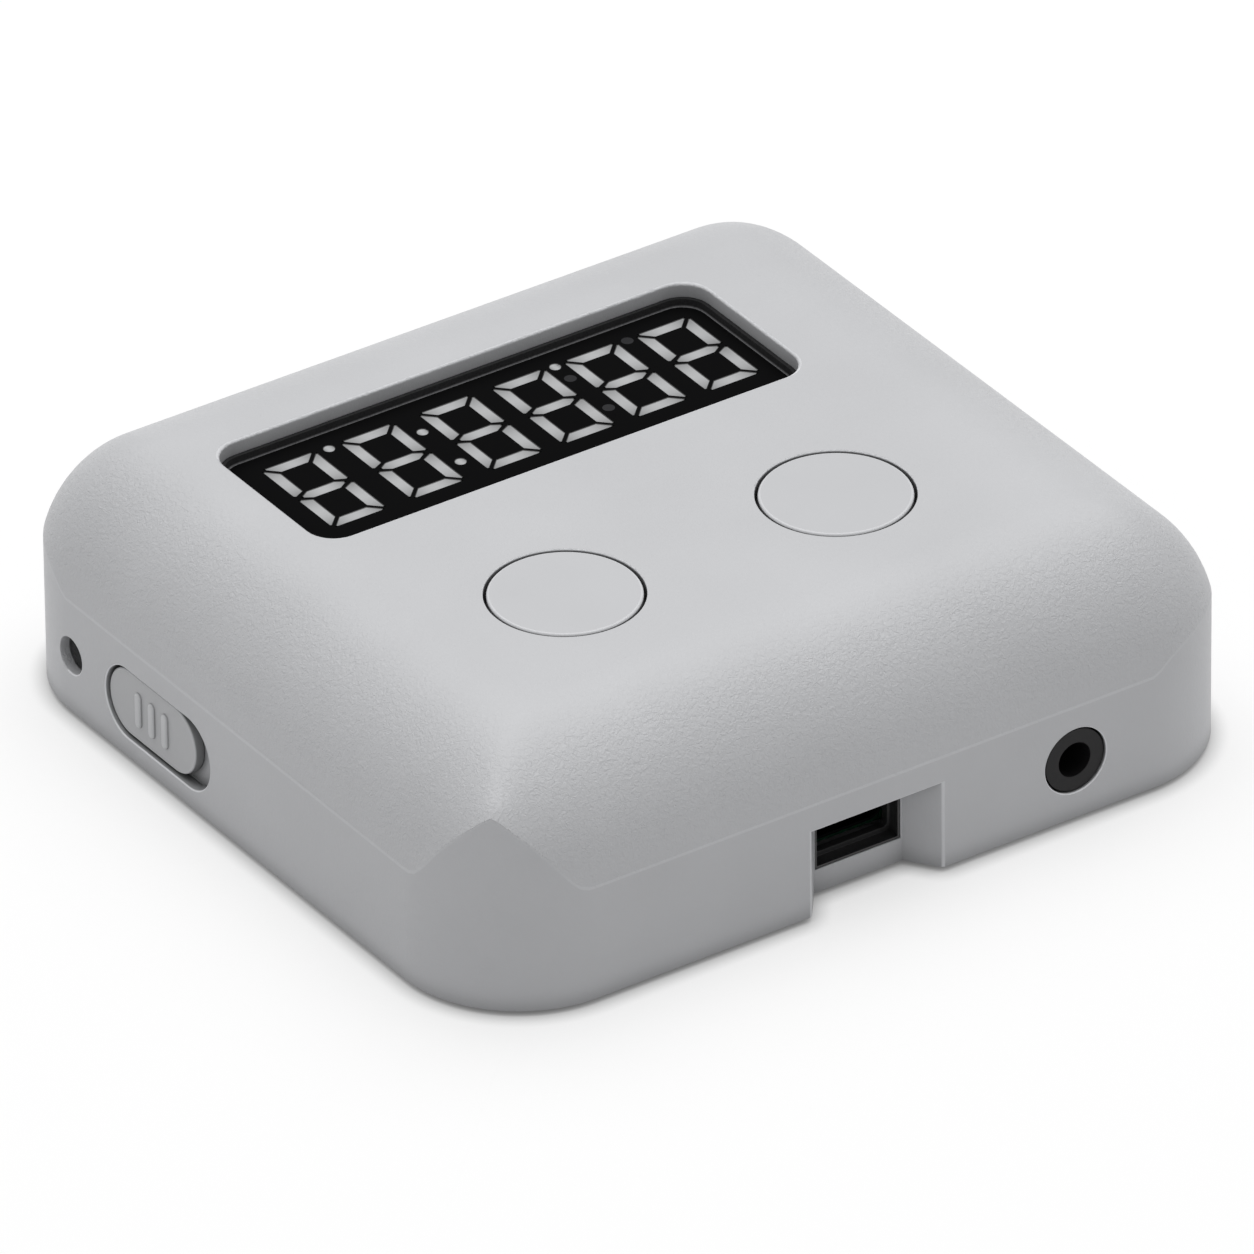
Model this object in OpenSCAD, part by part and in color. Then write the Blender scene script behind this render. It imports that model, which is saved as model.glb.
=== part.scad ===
// Desk timer for speed solving: a deep rounded shell over a flat base,
// with a six digit display, two flush push buttons, a slide power switch,
// a 3.5 mm socket and a charging socket.
// Millimetres. +X right along the front, +Y to the back, +Z up.
// The origin is the centre of the footprint, on the surface it stands on.

/* [Case] */
// Width of the case, left to right
case_w = 88; // [84:1:110]
// Depth of the case, front to back
case_d = 82.4; // [80:0.2:100]
// Height of the case above its bottom edge
case_h = 25.2; // [24.2:0.2:32]
// Thickness of the case wall
wall = 2.2; // [2:0.1:2.6]
// Radius of the four upright corners
corner_r = 12.8; // [11:0.2:14]
// Radius of the rounding along the top's four edges
top_round = 13.8; // [12:0.2:15]
// Angle at which each rounding meets its wall, in degrees
crease = 3; // [2:0.5:6]
// How much tighter the top turns at its round corners than the upright corner below
corner_rise = 1.1; // [0.6:0.1:1.6]

/* [Base] */
// Thickness of the base cover
cover_t = 1.8; // [1.6:0.1:2.4]
// How far the cover's face lies inside the case's bottom edge
cover_inset = 0.3; // [0.2:0.1:0.6]
// Width of the step in the case wall that the cover closes against
cover_step = 1; // [0.8:0.1:1.2]
// Height of the cover's pads under the main board
pad_h = 0.6; // [0.5:0.1:1.2]
// How far the feet stand out below the case's bottom edge
foot_h = 0.6; // [0.4:0.1:2]
// Radius of a rubber foot
foot_r = 3.5; // [2.5:0.1:4]
// Depth of the pockets that hold the feet
foot_seat = 0.5; // [0.3:0.1:0.8]
// Distance of the feet from the left and right walls
foot_side = 16; // [15:0.5:22]
// Distance of the feet from the front and back walls
foot_front = 7.8; // [7:0.2:10]

/* [Display window] */
// Width of the window
window_w = 54.6; // [54:0.2:60]
// Depth of the window, front to back
window_d = 20; // [19.4:0.2:22]
// Place of the window's centre, to the right of the case's centre
window_x = -2.9; // [-3.5:0.1:3.5]
// Place of the window's centre, behind the case's centre
window_y = 14.9; // [14.5:0.1:16]
// Corner radius of the window
window_r = 3; // [2:0.1:4]
// Thickness of the case top round the window
window_t = 1.5; // [1.2:0.1:1.8]
// How far the gasket shows inside the window
gasket_ledge = 0.4; // [0.2:0.1:0.8]
// Thickness of the gasket
gasket_t = 0.8; // [0.8:0.1:1.4]
// How far the gasket reaches under the case top
gasket_rim = 2; // [1.6:0.1:2.4]

/* [Display] */
// Height of the display module
module_h = 8; // [7.5:0.1:9]
// Width of a digit
digit_w = 6.1; // [5.4:0.1:6.2]
// Height of a digit
digit_h = 12.3; // [10:0.1:13]
// Width of a lit stroke
stroke_w = 1.3; // [0.9:0.1:1.6]
// Black gap between two strokes
stroke_gap = 0.35; // [0.2:0.05:0.5]
// Depth of the strokes and dots in the module
stroke_deep = 1.2; // [0.8:0.1:2]
// Space between two digits
digit_space = 2.1; // [2:0.1:2.3]
// Extra space on each side of the second digit, for its dots
dot_space = 0.6; // [0.4:0.1:0.8]
// Radius of a round dot
dot_r = 0.6; // [0.4:0.05:0.65]
// Place of the digits, to the right of the window's centre
digits_x = 1; // [-1:0.1:1]
// Place of the digits, behind the window's centre
digits_y = 1.2; // [-1.2:0.1:1.2]

/* [Buttons] */
// Radius of a button cap
button_r = 7.3; // [6.5:0.1:7.5]
// Gap between a cap and its hole
button_gap = 0.3; // [0.2:0.05:0.4]
// Travel of a button
button_travel = 0.5; // [0.3:0.05:0.6]
// Place of the left button, to the right of the case's centre
left_button_x = -16.8; // [-18:0.1:-15]
// Place of the right button, to the right of the case's centre
right_button_x = 13.6; // [12:0.1:15]
// Place of the buttons, in front of the case's centre
button_y = 14.9; // [14.5:0.1:16]
// Thickness of a cap's face
button_t = 1.6; // [1.2:0.1:2]

/* [Power slider] */
// Length of the slider's knob
knob_l = 14.6; // [13:0.1:16]
// Height of the slider's knob
knob_w = 7; // [6.4:0.1:7.4]
// Gap between the knob and its pocket
knob_gap = 0.3; // [0.2:0.05:0.4]
// Travel of the power slider
slider_travel = 2.6; // [2:0.1:3]
// Depth of the slider's pocket in the wall
pocket_deep = 1.4; // [1.3:0.05:1.45]
// How far the knob's face lies inside the wall's face
knob_inset = 0.3; // [0.25:0.05:0.4]
// Distance of the pocket's centre from the back wall's face
slider_back = 28.2; // [27.5:0.1:31]
// Width of a grip rib
rib_w = 1; // [0.6:0.1:1.2]
// Length of a grip rib
rib_l = 3.8; // [2.5:0.1:4.5]
// Spacing of the grip ribs
rib_pitch = 2.25; // [1.8:0.05:2.8]

/* [Sockets] */
// Place of the 3.5 mm socket, to the right of the case's centre
jack_x = 22.4; // [20:0.1:23]
// Radius of the 3.5 mm socket's bore
jack_bore_r = 1.8; // [1.76:0.01:1.85]
// Radius of the socket's round nose
jack_nose_r = 3.25; // [2.8:0.05:3.5]
// Gap between the nose and the case
jack_gap = 0.2; // [0.1:0.05:0.3]
// How far the nose lies inside the front wall's face
jack_inset = 0.25; // [0.1:0.05:0.5]
// Width of the notch in the front wall
notch_w = 14.8; // [14.4:0.1:16]
// Depth of the notch
notch_deep = 3.2; // [2.8:0.1:3.6]
// Height of the notch above the case's bottom edge
notch_h = 9.2; // [9:0.1:10]
// How much each side of the notch flares outwards
notch_flare = 2.45; // [2:0.05:2.45]
// Thickness of the walls behind the notch
notch_wall = 1.5; // [1.2:0.1:1.8]
// Width of the opening in the notch's rear wall
port_w = 9.6; // [9.5:0.05:9.7]
// Height of the sill below that opening
port_sill = 2.5; // [2.4:0.1:2.6]
// Height of that opening
port_h = 6.1; // [5.9:0.1:6.2]
// Radius of the round sound hole in the left wall
sound_r = 1.9; // [1.5:0.1:2.1]
// Distance of the sound hole from the back wall's face
sound_back = 13.4; // [13.2:0.1:15]

/* [Boards and battery] */
// Thickness of the main board
board_t = 1.2; // [1:0.1:1.6]
// Gap between the main board and the case wall
board_gap = 1.3; // [1:0.1:1.4]
// Thickness of the display board
panel_t = 1.6; // [1.2:0.1:1.8]
// Length of the battery
battery_l = 35; // [30:1:36]
// Width of the battery
battery_w = 30; // [24:1:32]
// Thickness of the battery
battery_t = 5; // [4:0.1:5.6]

/* [Fasteners] */
// Radius of a case screw's thread
screw_r = 1; // [0.9:0.05:1.1]
// Length of a case screw under its head
screw_l = 8; // [7:0.5:10]
// Radius of a case screw's head
screw_head_r = 1.9; // [1.7:0.1:2.1]
// Radius of a screw boss in the case
boss_r = 3; // [2.6:0.1:3.1]

/* [Hidden] */

$fn = 64;
// Clearance between parts that slide past each other, and between fixed parts
slide_fit = 0.05;
fit = 0.15;
// Small overlap that lets a cut run past the face it opens
cut = 1;

// Heights of the main faces above the surface the timer stands on
edge_z = foot_h;
cover_z = edge_z + cover_inset;
cover_top = cover_z + cover_t;
board_z = cover_top + pad_h;
board_top = board_z + board_t;
top_z = edge_z + case_h;
roof_z = top_z - wall;
gasket_top = top_z - window_t;
face_z = gasket_top - gasket_t;
panel_top = face_z - module_h;
panel_z = panel_top - panel_t;

// Faces of the walls
left_x = -case_w / 2;
front_y = -case_d / 2;
back_y = case_d / 2;
inner_w = case_w - 2 * wall;
inner_d = case_d - 2 * wall;

// Corners where a third rounding lies across the two that meet there. At the front
// left corner the two meet in a peak instead.
round_corners = [[1, -1], [1, 1], [-1, 1]];
// The third one starts just past the line where it would only touch the top, and
// ends just above the line where the walls begin
turn_start = 0.5;
turn_clear = 0.3;

// Screw bosses stand close to the inner corners
boss_in = 5.8;
boss_in_y = 5.1;
boss_x = inner_w / 2 - boss_in;
boss_y = inner_d / 2 - boss_in_y;
thread_bite = 0.05;
pilot_r = screw_r - thread_bite;
screw_hole_r = screw_r + 0.2;
head_t = 1.1;
head_seat = 1.2;
head_hole_r = screw_head_r + 0.2;
foot_chamfer = 0.3;

// Main board
board_w = inner_w - 2 * board_gap;
board_d = inner_d - 2 * board_gap;
board_corner = 9;

// Display module and its board
module_rim = 1.2;
module_w = window_w + 2 * module_rim;
module_d = window_d + 2 * module_rim;
module_wall = 1;
panel_side = 2.7;
panel_behind = 4.8;
panel_before = 8.7;
panel_corner = 2.5;
panel_w = module_w + 2 * panel_side;
panel_front = -(button_y + panel_before);
panel_back = window_y + module_d / 2 + panel_behind;
post_r = 2.2;
post_side = 0.2;
post_before = 0.4;
post_x = panel_w / 2 - post_r - post_side;
post_back = panel_back - post_r;
post_front = panel_front + post_r + post_before;
post_screw_r = 0.9;
post_hole_r = post_screw_r + 0.15;
post_screw_l = 5;
post_head_r = 1.6;
post_head_t = 0.9;

// Digits: the left edge of each, from the left edge of the first
digit_x = [for (i = [0:5]) i * (digit_w + digit_space) + min(i, 2) * dot_space];
digits_w = digit_x[5] + digit_w;
digits_left = window_x + digits_x - digits_w / 2;
digits_front = window_y + digits_y - digit_h / 2;
dot_below_top = 0.4;
dot_high = digit_h - dot_below_top;
dot_upper = digit_h * 0.76;
dot_lower = digit_h * 0.24;
pin_side = 0.64;
pins_a_row = 8;
pin_pitch = 5.08;
pin_inset = 1;
pin_tail = 1.5;
pin_hole = pin_side + 0.2;
pin_row_y = module_d / 2 - module_wall - pin_inset;

// Buttons and their switches
hole_r = button_r + button_gap;
flange_w = 1.5;
flange_r = button_r + flange_w;
flange_t = 1;
flange_gap = 0.1;
flange_top = roof_z - flange_gap;
ring_gap = 0.3;
ring_t = 1.1;
ring_deep = 3.4;
tact_side = 6;
tact_h = 3.5;
tact_plate_t = 0.3;
tact_bottom_gap = 0.2;
tact_tab_l = 0.8;
tact_tab_w = 0.7;
tact_tab_h = 0.6;
tact_tab_y = 2.25;
plunger_r = 1.75;
plunger_up = 1.5;
plunger_down = 1.4;
plunger_top = panel_top + tact_h + plunger_up;
stem_r = 1.9;
skirt_t = 1.2;

// Power slider
slider_up = 1.9;
slider_z = board_top + slider_up;
slider_y = back_y - slider_back;
pocket_l = knob_l + slider_travel + 2 * knob_gap;
pocket_w = knob_w + 2 * knob_gap;
knob_face = left_x + knob_inset;
pocket_floor = left_x + pocket_deep;
knob_back_gap = 0.1;
knob_back = pocket_floor - knob_back_gap;
knob_y = slider_y + slider_travel / 2;
post_w = 3;
post_high = 2.6;
slot_gap = 0.2;
hook_t = 0.6;
hook_reach = 0.5;
wall_inner = left_x + wall;
hook_gap = 0.1;
hook_x = wall_inner + hook_gap;
lever_w = 1.5;
lever_h = 1.2;
lever_in_knob = 0.2;
lever_gap = 0.1;
lever_tip = wall_inner - lever_in_knob;
lever_foot_w = lever_w + 1.6;
lever_foot_h = 2.2;
lever_foot_t = 1.6;
switch_gap = 0.9;
switch_front = hook_x + hook_t + switch_gap;
switch_deep = 3.6;
switch_l = 9.6;
switch_h = 3.8;
switch_wall = 0.4;
switch_slot_gap = 0.2;
switch_tab = 0.8;
switch_tab_h = 1;
switch_tab_pitch = 3;
rib_below_wall = 0.02;
rib_h = knob_inset - rib_below_wall;
rib_root = 0.2;

// 3.5 mm socket
jack_up = 2.3;
jack_z = board_top + jack_up;
jack_over = 2.6;
jack_w = 6.6;
jack_h = jack_up + jack_over;
jack_l = 12;
jack_behind_wall = 0.4;
jack_end_wall = 1;
jack_front = front_y + wall + jack_behind_wall;
jack_end = jack_front + jack_l;
jack_bore_end = jack_end - jack_end_wall;
jack_slot_w = 1.6;
jack_slot_l = 4;
jack_slot_end = 2;
jack_slot_up = 2;
jack_leaf_gap = 0.1;
jack_leaf_l = 3.6;
jack_tab_t = 0.3;
jack_tab_w = 1.6;
jack_tab_h = 2.2;
jack_tab_front = 2.5;
jack_tab_back = 3.5;

// Charging socket and the notch it lies in
notch_back = front_y + notch_deep;
notch_inner = notch_back + notch_wall;
rear_w = notch_w - 2 * notch_flare;
notch_top = edge_z + notch_h;
port_z = edge_z + port_sill;
nose_t = 0.2;
nose_gap = 0.05;
nose_inset = 0.1;
frame_front = notch_inner;
frame_t = 0.9;
frame_side = 1.4;
frame_over = 1;
frame_w = port_w + 2 * frame_side;
frame_low = cover_top + 0.2;
frame_top = port_z + port_h + frame_over;
shell_w = 8.94;
shell_h = 3.26;
shell_l = 7.35;
shell_t = 0.3;
shell_z = board_top + shell_h / 2;
shell_front = frame_front + frame_t;
mouth_w = 8.7;
mouth_h = 4.6;
mouth_r = 0.5;
board_notch_gap = 0.5;
board_notch_w = frame_w + 2 * board_notch_gap;
board_notch_y = shell_front + 1.2;
tongue_in = 0.9;
tongue_w = 6.68;
tongue_t = 0.7;
contact_in = 1.4;
contact_pitch = 0.5;
contact_w = 0.24;
contact_l = 4;
contact_t = 0.04;

// Buzzer behind the sound hole
sound_y = back_y - sound_back;
buzzer_l = 7.5;
buzzer_w = 5.4;
buzzer_h = 4.4;
buzzer_gap = 0.4;
buzzer_hole_r = 1.2;
buzzer_end_wall = 1.5;
sound_z = board_top + buzzer_h / 2;
buzzer_x = wall_inner + buzzer_gap + board_gap;

// Battery, its foam pad, and its plug and socket
battery_x = 9.5;
battery_y = 11;
battery_pad_t = 0.5;
battery_pad_inset = 3;
battery_round = 1.6;
battery_z = board_top + battery_pad_t;
plug_w = 6;
plug_l = 6.2;
plug_h = 3.1;
plug_gap = 0.05;
plug_aside = 6;
plug_y = battery_y + plug_aside;
wire_l = 6.3;
plug_end = battery_x - battery_l / 2 - wire_l;
socket_back = 1;
plug_shows = 2.2;
socket_end = plug_end - plug_shows;
socket_wall = 0.8;
socket_l = 5;
socket_high = 4.6;
socket_hole_h = 3.2;
wire_r = 0.6;
wire_pitch = 2.4;
wire_up = 1.9;

// Header between the two boards
header_side = 6.1;
header_x = window_x - panel_w / 2 + header_side;
header_y = -1;
header_pitch = 2.54;
header_rows = 4;
header_base = 2.5;
header_hole = pin_side + 0.3;
header_floor = 1;
header_pin_low = 1.5;
header_pin_high = 0.6;
header_w = 2 * header_pitch;
header_l = header_rows * header_pitch;
socket_h = panel_z - board_top - header_base;

// Chips: centre, width, depth and height of each, then their leads
controller_aside = 9;
controller_x = header_x + controller_aside;
controller_y = -3;
controller_side = 10;
controller_h = 1.4;
driver_aside = 8.5;
driver_x = header_x + driver_aside;
driver_y = -18;
driver_l = 17.8;
driver_w = 7.5;
driver_h = 2.3;
charger_x = 2;
charger_y = -19;
charger_l = 5;
charger_w = 4;
charger_h = 1.5;
controller = [controller_x, controller_y, controller_side, controller_side, controller_h];
driver = [driver_x, driver_y, driver_l, driver_w, driver_h];
charger = [charger_x, charger_y, charger_l, charger_w, charger_h];
chip_up = 0.1;
fine_pitch = 1.1;
wide_pitch = 1.27;
lead_t = 0.15;
lead_w = 0.4;
lead_out = 1.1;

// Crystal, beside the header
crystal_aside = 5.4;
crystal_x = header_x - crystal_aside;
crystal_y = -11;
can_l = 10.6;
can_w = 4.2;
can_h = 3.5;
can_rim = 0.5;
can_rim_t = 0.4;

// Two round capacitors side by side
cap_x = -9;
cap_y = -11;
cap_pitch = 6.5;
cap_base = 5.4;
cap_base_t = 0.8;
cap_r = 2.5;
cap_h = 5.4;

// Small chip capacitors and resistors
chip_cap_spots = [[-8, -19], [-8, -22], [8, -15.5], [11.5, -15.5], [-26, 8]];
chip_cap_l = 2;
chip_cap_w = 1.25;
chip_cap_h = 1.2;
resistor_count = 6;
resistor_aside = 2;
resistor_x = header_x + resistor_aside;
resistor_y = -26.5;
resistor_pitch = 3;
resistor_l = 2;
resistor_w = 1.25;
resistor_h = 0.6;

/* Shared shapes */

// A rectangle with round corners, centred
module rounded(w, d, r) {
    square([w - 2 * r, d], center = true);
    square([w, d - 2 * r], center = true);
    for (x = [-1, 1], y = [-1, 1])
        translate([x * (w / 2 - r), y * (d / 2 - r)])
            circle(r);
}

// A slot with round ends, centred, lying along X
module stadium(l, w) {
    square([l - w, w], center = true);
    for (x = [-1, 1])
        translate([x * (l - w) / 2, 0])
            circle(w / 2);
}

// A box centred in X and Y that stands on z
module block(w, d, h, z = 0) {
    translate([-w / 2, -d / 2, z])
        cube([w, d, h]);
}

// The upright outline of the case: straight walls and two round top edges
module arch(w, low, high, r) {
    c = w / 2 - r * cos(crease);
    translate([-c, low])
        square([2 * c, high - low]);
    translate([-c - r, low])
        square([2 * (c + r), high - r - low]);
    for (x = [-1, 1])
        translate([x * c, high - r])
            circle(r, $fn = 128);
}

// The case's outer form, with every face moved inwards by inset
module case_form(inset, low) {
    w = case_w - 2 * inset;
    d = case_d - 2 * inset;
    high = top_z - inset;
    turn = corner_r - corner_rise - inset;
    difference() {
        intersection() {
            translate([0, 0, low])
                linear_extrude(high + cut - low)
                    rounded(w, d, corner_r - inset);
            rotate([90, 0, 0])
                linear_extrude(d + 2 * cut, center = true)
                    arch(w, low - cut, high, top_round - inset);
            rotate([90, 0, 90])
                linear_extrude(w + 2 * cut, center = true)
                    arch(d, low - cut, high, top_round - inset);
        }
        for (c = round_corners)
            translate([c[0] * (w / 2 - turn), c[1] * (d / 2 - turn), high])
                rotate([90, 0, atan2(c[1], c[0])])
                    linear_extrude(4 * turn, center = true)
                        outside_arch(turn, top_round - inset);
    }
}

// What lies outside a rounding of radius r that ends in a wall at reach
module outside_arch(reach, r) {
    c = reach - r * cos(crease);
    difference() {
        translate([c + turn_start, turn_clear - r * (1 - sin(crease))])
            square([2 * r, 2 * r]);
        translate([c, -r])
            circle(r, $fn = 128);
    }
}

// Puts a copy at each of the four corners of a rectangle
module at_corners(x, y) {
    for (i = [-1, 1], j = [-1, 1])
        translate([i * x, j * y, 0])
            children();
}

// Puts a copy at each post of the display board
module at_posts() {
    for (i = [-1, 1], y = [post_front, post_back])
        translate([window_x + i * post_x, y, 0])
            children();
}

// Puts a copy at each of the two buttons
module at_buttons() {
    for (x = [left_button_x, right_button_x])
        translate([x, -button_y, 0])
            children();
}

// Lays a flat outline on the front wall: X stays, and the outline's Y becomes Z
module on_front(x, y, z, deep) {
    translate([x, y + deep, z])
        rotate([90, 0, 0])
            linear_extrude(deep)
                children();
}

// Lays a flat outline on the left wall: the outline's X becomes Y
module on_left(x, y, z, deep) {
    translate([x, y, z])
        rotate([90, 0, 90])
            linear_extrude(deep)
                children();
}

// The outline of the notch, grown outwards by grow
module notch_plan(grow) {
    slant = atan((notch_w - rear_w) / 2 / (notch_back - front_y));
    front_half = notch_w / 2 + grow / cos(slant);
    back_half = rear_w / 2 + grow / cos(slant) - grow * tan(slant);
    polygon([
        [-front_half, front_y - cut],
        [-front_half, front_y],
        [-back_half, notch_back + grow],
        [back_half, notch_back + grow],
        [front_half, front_y],
        [front_half, front_y - cut]
    ]);
}

/* Case */

module upper_case() {
    color([0.78, 0.785, 0.79])
        difference() {
            union() {
                difference() {
                    case_form(0, edge_z);
                    case_form(wall, edge_z - cut);
                }
                case_inner_parts();
            }
            cover_seat();
            case_openings();
        }
}

// Bosses, posts, button rings and the walls round the notch
module case_inner_parts() {
    intersection() {
        case_form(wall / 2, edge_z);
        union() {
            at_corners(boss_x, boss_y)
                translate([0, 0, board_top])
                    cylinder(r = boss_r, h = top_z - board_top);
            at_posts()
                translate([0, 0, panel_top])
                    cylinder(r = post_r, h = top_z - panel_top);
            at_buttons()
                translate([0, 0, roof_z - ring_deep])
                    cylinder(r = flange_r + ring_gap + ring_t, h = ring_deep + wall / 2);
            translate([0, 0, edge_z])
                linear_extrude(notch_top + notch_wall - edge_z)
                    notch_plan(notch_wall);
        }
    }
}

// The step that the base cover closes against
module cover_seat() {
    grow = wall - cover_step;
    difference() {
        translate([0, 0, edge_z - cut])
            linear_extrude(cover_top - edge_z + cut)
                rounded(case_w - 2 * grow, case_d - 2 * grow, corner_r - grow);
        translate([0, 0, edge_z - 2 * cut])
            linear_extrude(cover_top + 3 * cut)
                notch_plan(notch_wall);
    }
}

module case_openings() {
    // display window and the seat of its gasket
    translate([window_x, window_y, top_z - wall - cut]) {
        linear_extrude(wall + 2 * cut)
            rounded(window_w, window_d, window_r);
        linear_extrude(wall - window_t + cut)
            rounded(window_w + 2 * (gasket_rim + fit), window_d + 2 * (gasket_rim + fit),
                window_r + gasket_rim + fit);
    }
    // buttons
    at_buttons() {
        translate([0, 0, roof_z - cut])
            cylinder(r = hole_r, h = wall + 2 * cut);
        translate([0, 0, roof_z - ring_deep - cut])
            cylinder(r = flange_r + ring_gap, h = ring_deep + cut);
    }
    // pilot holes for the screws
    at_corners(boss_x, boss_y)
        translate([0, 0, board_top - cut])
            cylinder(r = pilot_r, h = cut + screw_l);
    at_posts()
        translate([0, 0, panel_top - cut])
            cylinder(r = post_screw_r - thread_bite, h = cut + post_screw_l);
    // notch and the opening behind it
    translate([0, 0, edge_z - cut])
        linear_extrude(notch_h + cut)
            notch_plan(0);
    translate([-port_w / 2, notch_back - cut, port_z])
        cube([port_w, notch_wall + 2 * cut, port_h]);
    // 3.5 mm socket and sound hole
    on_front(jack_x, front_y - cut, jack_z, wall + 2 * cut)
        circle(jack_nose_r + jack_gap);
    on_left(left_x - cut, sound_y, sound_z, wall + 2 * cut)
        circle(sound_r);
    // slider pocket and the slot in its floor
    on_left(left_x - cut, slider_y, slider_z, pocket_deep + cut)
        stadium(pocket_l, pocket_w);
    on_left(left_x - cut, slider_y, slider_z, wall + 2 * cut)
        square([post_w + slider_travel + 2 * slot_gap, post_high + 2 * slot_gap], center = true);
}

module base_cover() {
    grow = wall - cover_step + fit;
    color([0.74, 0.745, 0.75])
        difference() {
            union() {
                translate([0, 0, cover_z])
                    linear_extrude(cover_t)
                        rounded(case_w - 2 * grow, case_d - 2 * grow, corner_r - grow);
                at_corners(boss_x, boss_y)
                    translate([0, 0, cover_z])
                        cylinder(r = boss_r, h = cover_t + pad_h);
            }
            translate([0, 0, cover_z - cut])
                linear_extrude(cover_t + 2 * cut)
                    notch_plan(notch_wall + fit);
            translate([-notch_w, front_y - cut, cover_z - cut])
                cube([2 * notch_w, cut + wall - cover_step + fit, cover_t + 2 * cut]);
            at_corners(boss_x, boss_y) {
                translate([0, 0, cover_z - cut])
                    cylinder(r = screw_hole_r, h = cover_t + pad_h + 2 * cut);
                translate([0, 0, cover_z - cut])
                    cylinder(r = head_hole_r, h = head_seat + cut);
            }
            at_corners(foot_x(), foot_y())
                translate([0, 0, cover_z - cut])
                    cylinder(r = foot_r + slide_fit, h = foot_seat + cut);
        }
}

function foot_x() = case_w / 2 - foot_side;
function foot_y() = case_d / 2 - foot_front;

// One screw, head down, with its head's top face at z
module screw(r, l, head_r, head_h, z) {
    difference() {
        union() {
            translate([0, 0, z - head_h])
                cylinder(r = head_r, h = head_h);
            translate([0, 0, z])
                cylinder(r = r, h = l);
        }
        for (a = [0, 90])
            rotate([0, 0, a])
                block(head_r * 1.1, head_r * 0.24, head_h * 0.6 + cut, z - head_h - cut);
    }
}

module case_screws() {
    color([0.62, 0.63, 0.65])
        at_corners(boss_x, boss_y)
            screw(screw_r, screw_l, screw_head_r, head_t, cover_z + head_seat);
}

module rubber_feet() {
    color([0.12, 0.12, 0.125])
        at_corners(foot_x(), foot_y())
            rotate_extrude()
                polygon([
                    [0, 0],
                    [foot_r - foot_chamfer, 0],
                    [foot_r, foot_chamfer],
                    [foot_r, cover_z + foot_seat],
                    [0, cover_z + foot_seat]
                ]);
}

/* Display */

module display_gasket() {
    color([0.17, 0.17, 0.175])
        translate([window_x, window_y, face_z])
            difference() {
                linear_extrude(gasket_t)
                    rounded(window_w + 2 * gasket_rim, window_d + 2 * gasket_rim, window_r + gasket_rim);
                translate([0, 0, -cut])
                    linear_extrude(gasket_t + 2 * cut)
                        rounded(window_w - 2 * gasket_ledge, window_d - 2 * gasket_ledge,
                            window_r - gasket_ledge);
            }
}

// The seven strokes of one digit, its front left corner at the origin
module strokes() {
    w = digit_w;
    h = digit_h;
    s = stroke_w;
    e = stroke_gap * 0.7;
    half = h / 2;
    // top and bottom
    polygon([[e, h], [w - e, h], [w - s - e, h - s], [s + e, h - s]]);
    polygon([[e, 0], [w - e, 0], [w - s - e, s], [s + e, s]]);
    // middle
    polygon([
        [2 * e, half],
        [s + e, half + s / 2],
        [w - s - e, half + s / 2],
        [w - 2 * e, half],
        [w - s - e, half - s / 2],
        [s + e, half - s / 2]
    ]);
    // upper and lower sides
    for (x = [0, 1], y = [0, 1])
        translate([x * w, y * h])
            mirror([x, 0])
                mirror([0, y])
                    polygon([[0, e], [s, s + e], [s, half - s / 2 - e], [0, half - e]]);
}

// Flat outline of all the strokes
module all_strokes() {
    for (x = digit_x)
        translate([digits_left + x, digits_front])
            strokes();
}

// The round dots that are lit: after digits 1 and 4, and a colon after digit 2
module lit_dots() {
    for (spot = [[1, dot_high], [2, dot_upper], [2, dot_lower], [4, dot_high]])
        dot(spot[0], spot[1]);
}

// The round dots that stay dark: a colon after digit 4 and a dot after digit 5
module dark_dots() {
    for (spot = [[4, dot_upper], [4, dot_lower], [5, dot_high]])
        dot(spot[0], spot[1]);
}

// One round dot in the space before digit number n, counted from 0
module dot(n, up) {
    middle = (digit_x[n - 1] + digit_w + digit_x[n]) / 2;
    translate([digits_left + middle, digits_front + up])
        circle(dot_r, $fn = 32);
}

module display_housing() {
    color([0.05, 0.05, 0.052])
        difference() {
            translate([window_x, window_y, 0])
                block(module_w, module_d, module_h, panel_top);
            translate([window_x, window_y, 0])
                block(module_w - 2 * module_wall, module_d - 2 * module_wall,
                    module_h - 2 * stroke_deep + cut, panel_top - cut);
            translate([0, 0, face_z - stroke_deep])
                linear_extrude(stroke_deep + cut) {
                    all_strokes();
                    lit_dots();
                    dark_dots();
                }
        }
}

module display_segments() {
    color([0.74, 0.745, 0.74])
        translate([0, 0, face_z - stroke_deep])
            linear_extrude(stroke_deep) {
                all_strokes();
                lit_dots();
            }
}

module display_dots() {
    color([0.14, 0.14, 0.145])
        translate([0, 0, face_z - stroke_deep])
            linear_extrude(stroke_deep)
                dark_dots();
}

// Puts a copy at each pin of the display module
module at_display_pins() {
    for (i = [0:pins_a_row - 1], j = [-1, 1])
        translate([window_x + (i - (pins_a_row - 1) / 2) * pin_pitch, window_y + j * pin_row_y, 0])
            children();
}

module display_pins() {
    pin_l = module_h - 2 * stroke_deep + panel_t + pin_tail;
    color([0.8, 0.79, 0.74])
        at_display_pins()
            block(pin_side, pin_side, pin_l, panel_z - pin_tail);
}

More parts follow.
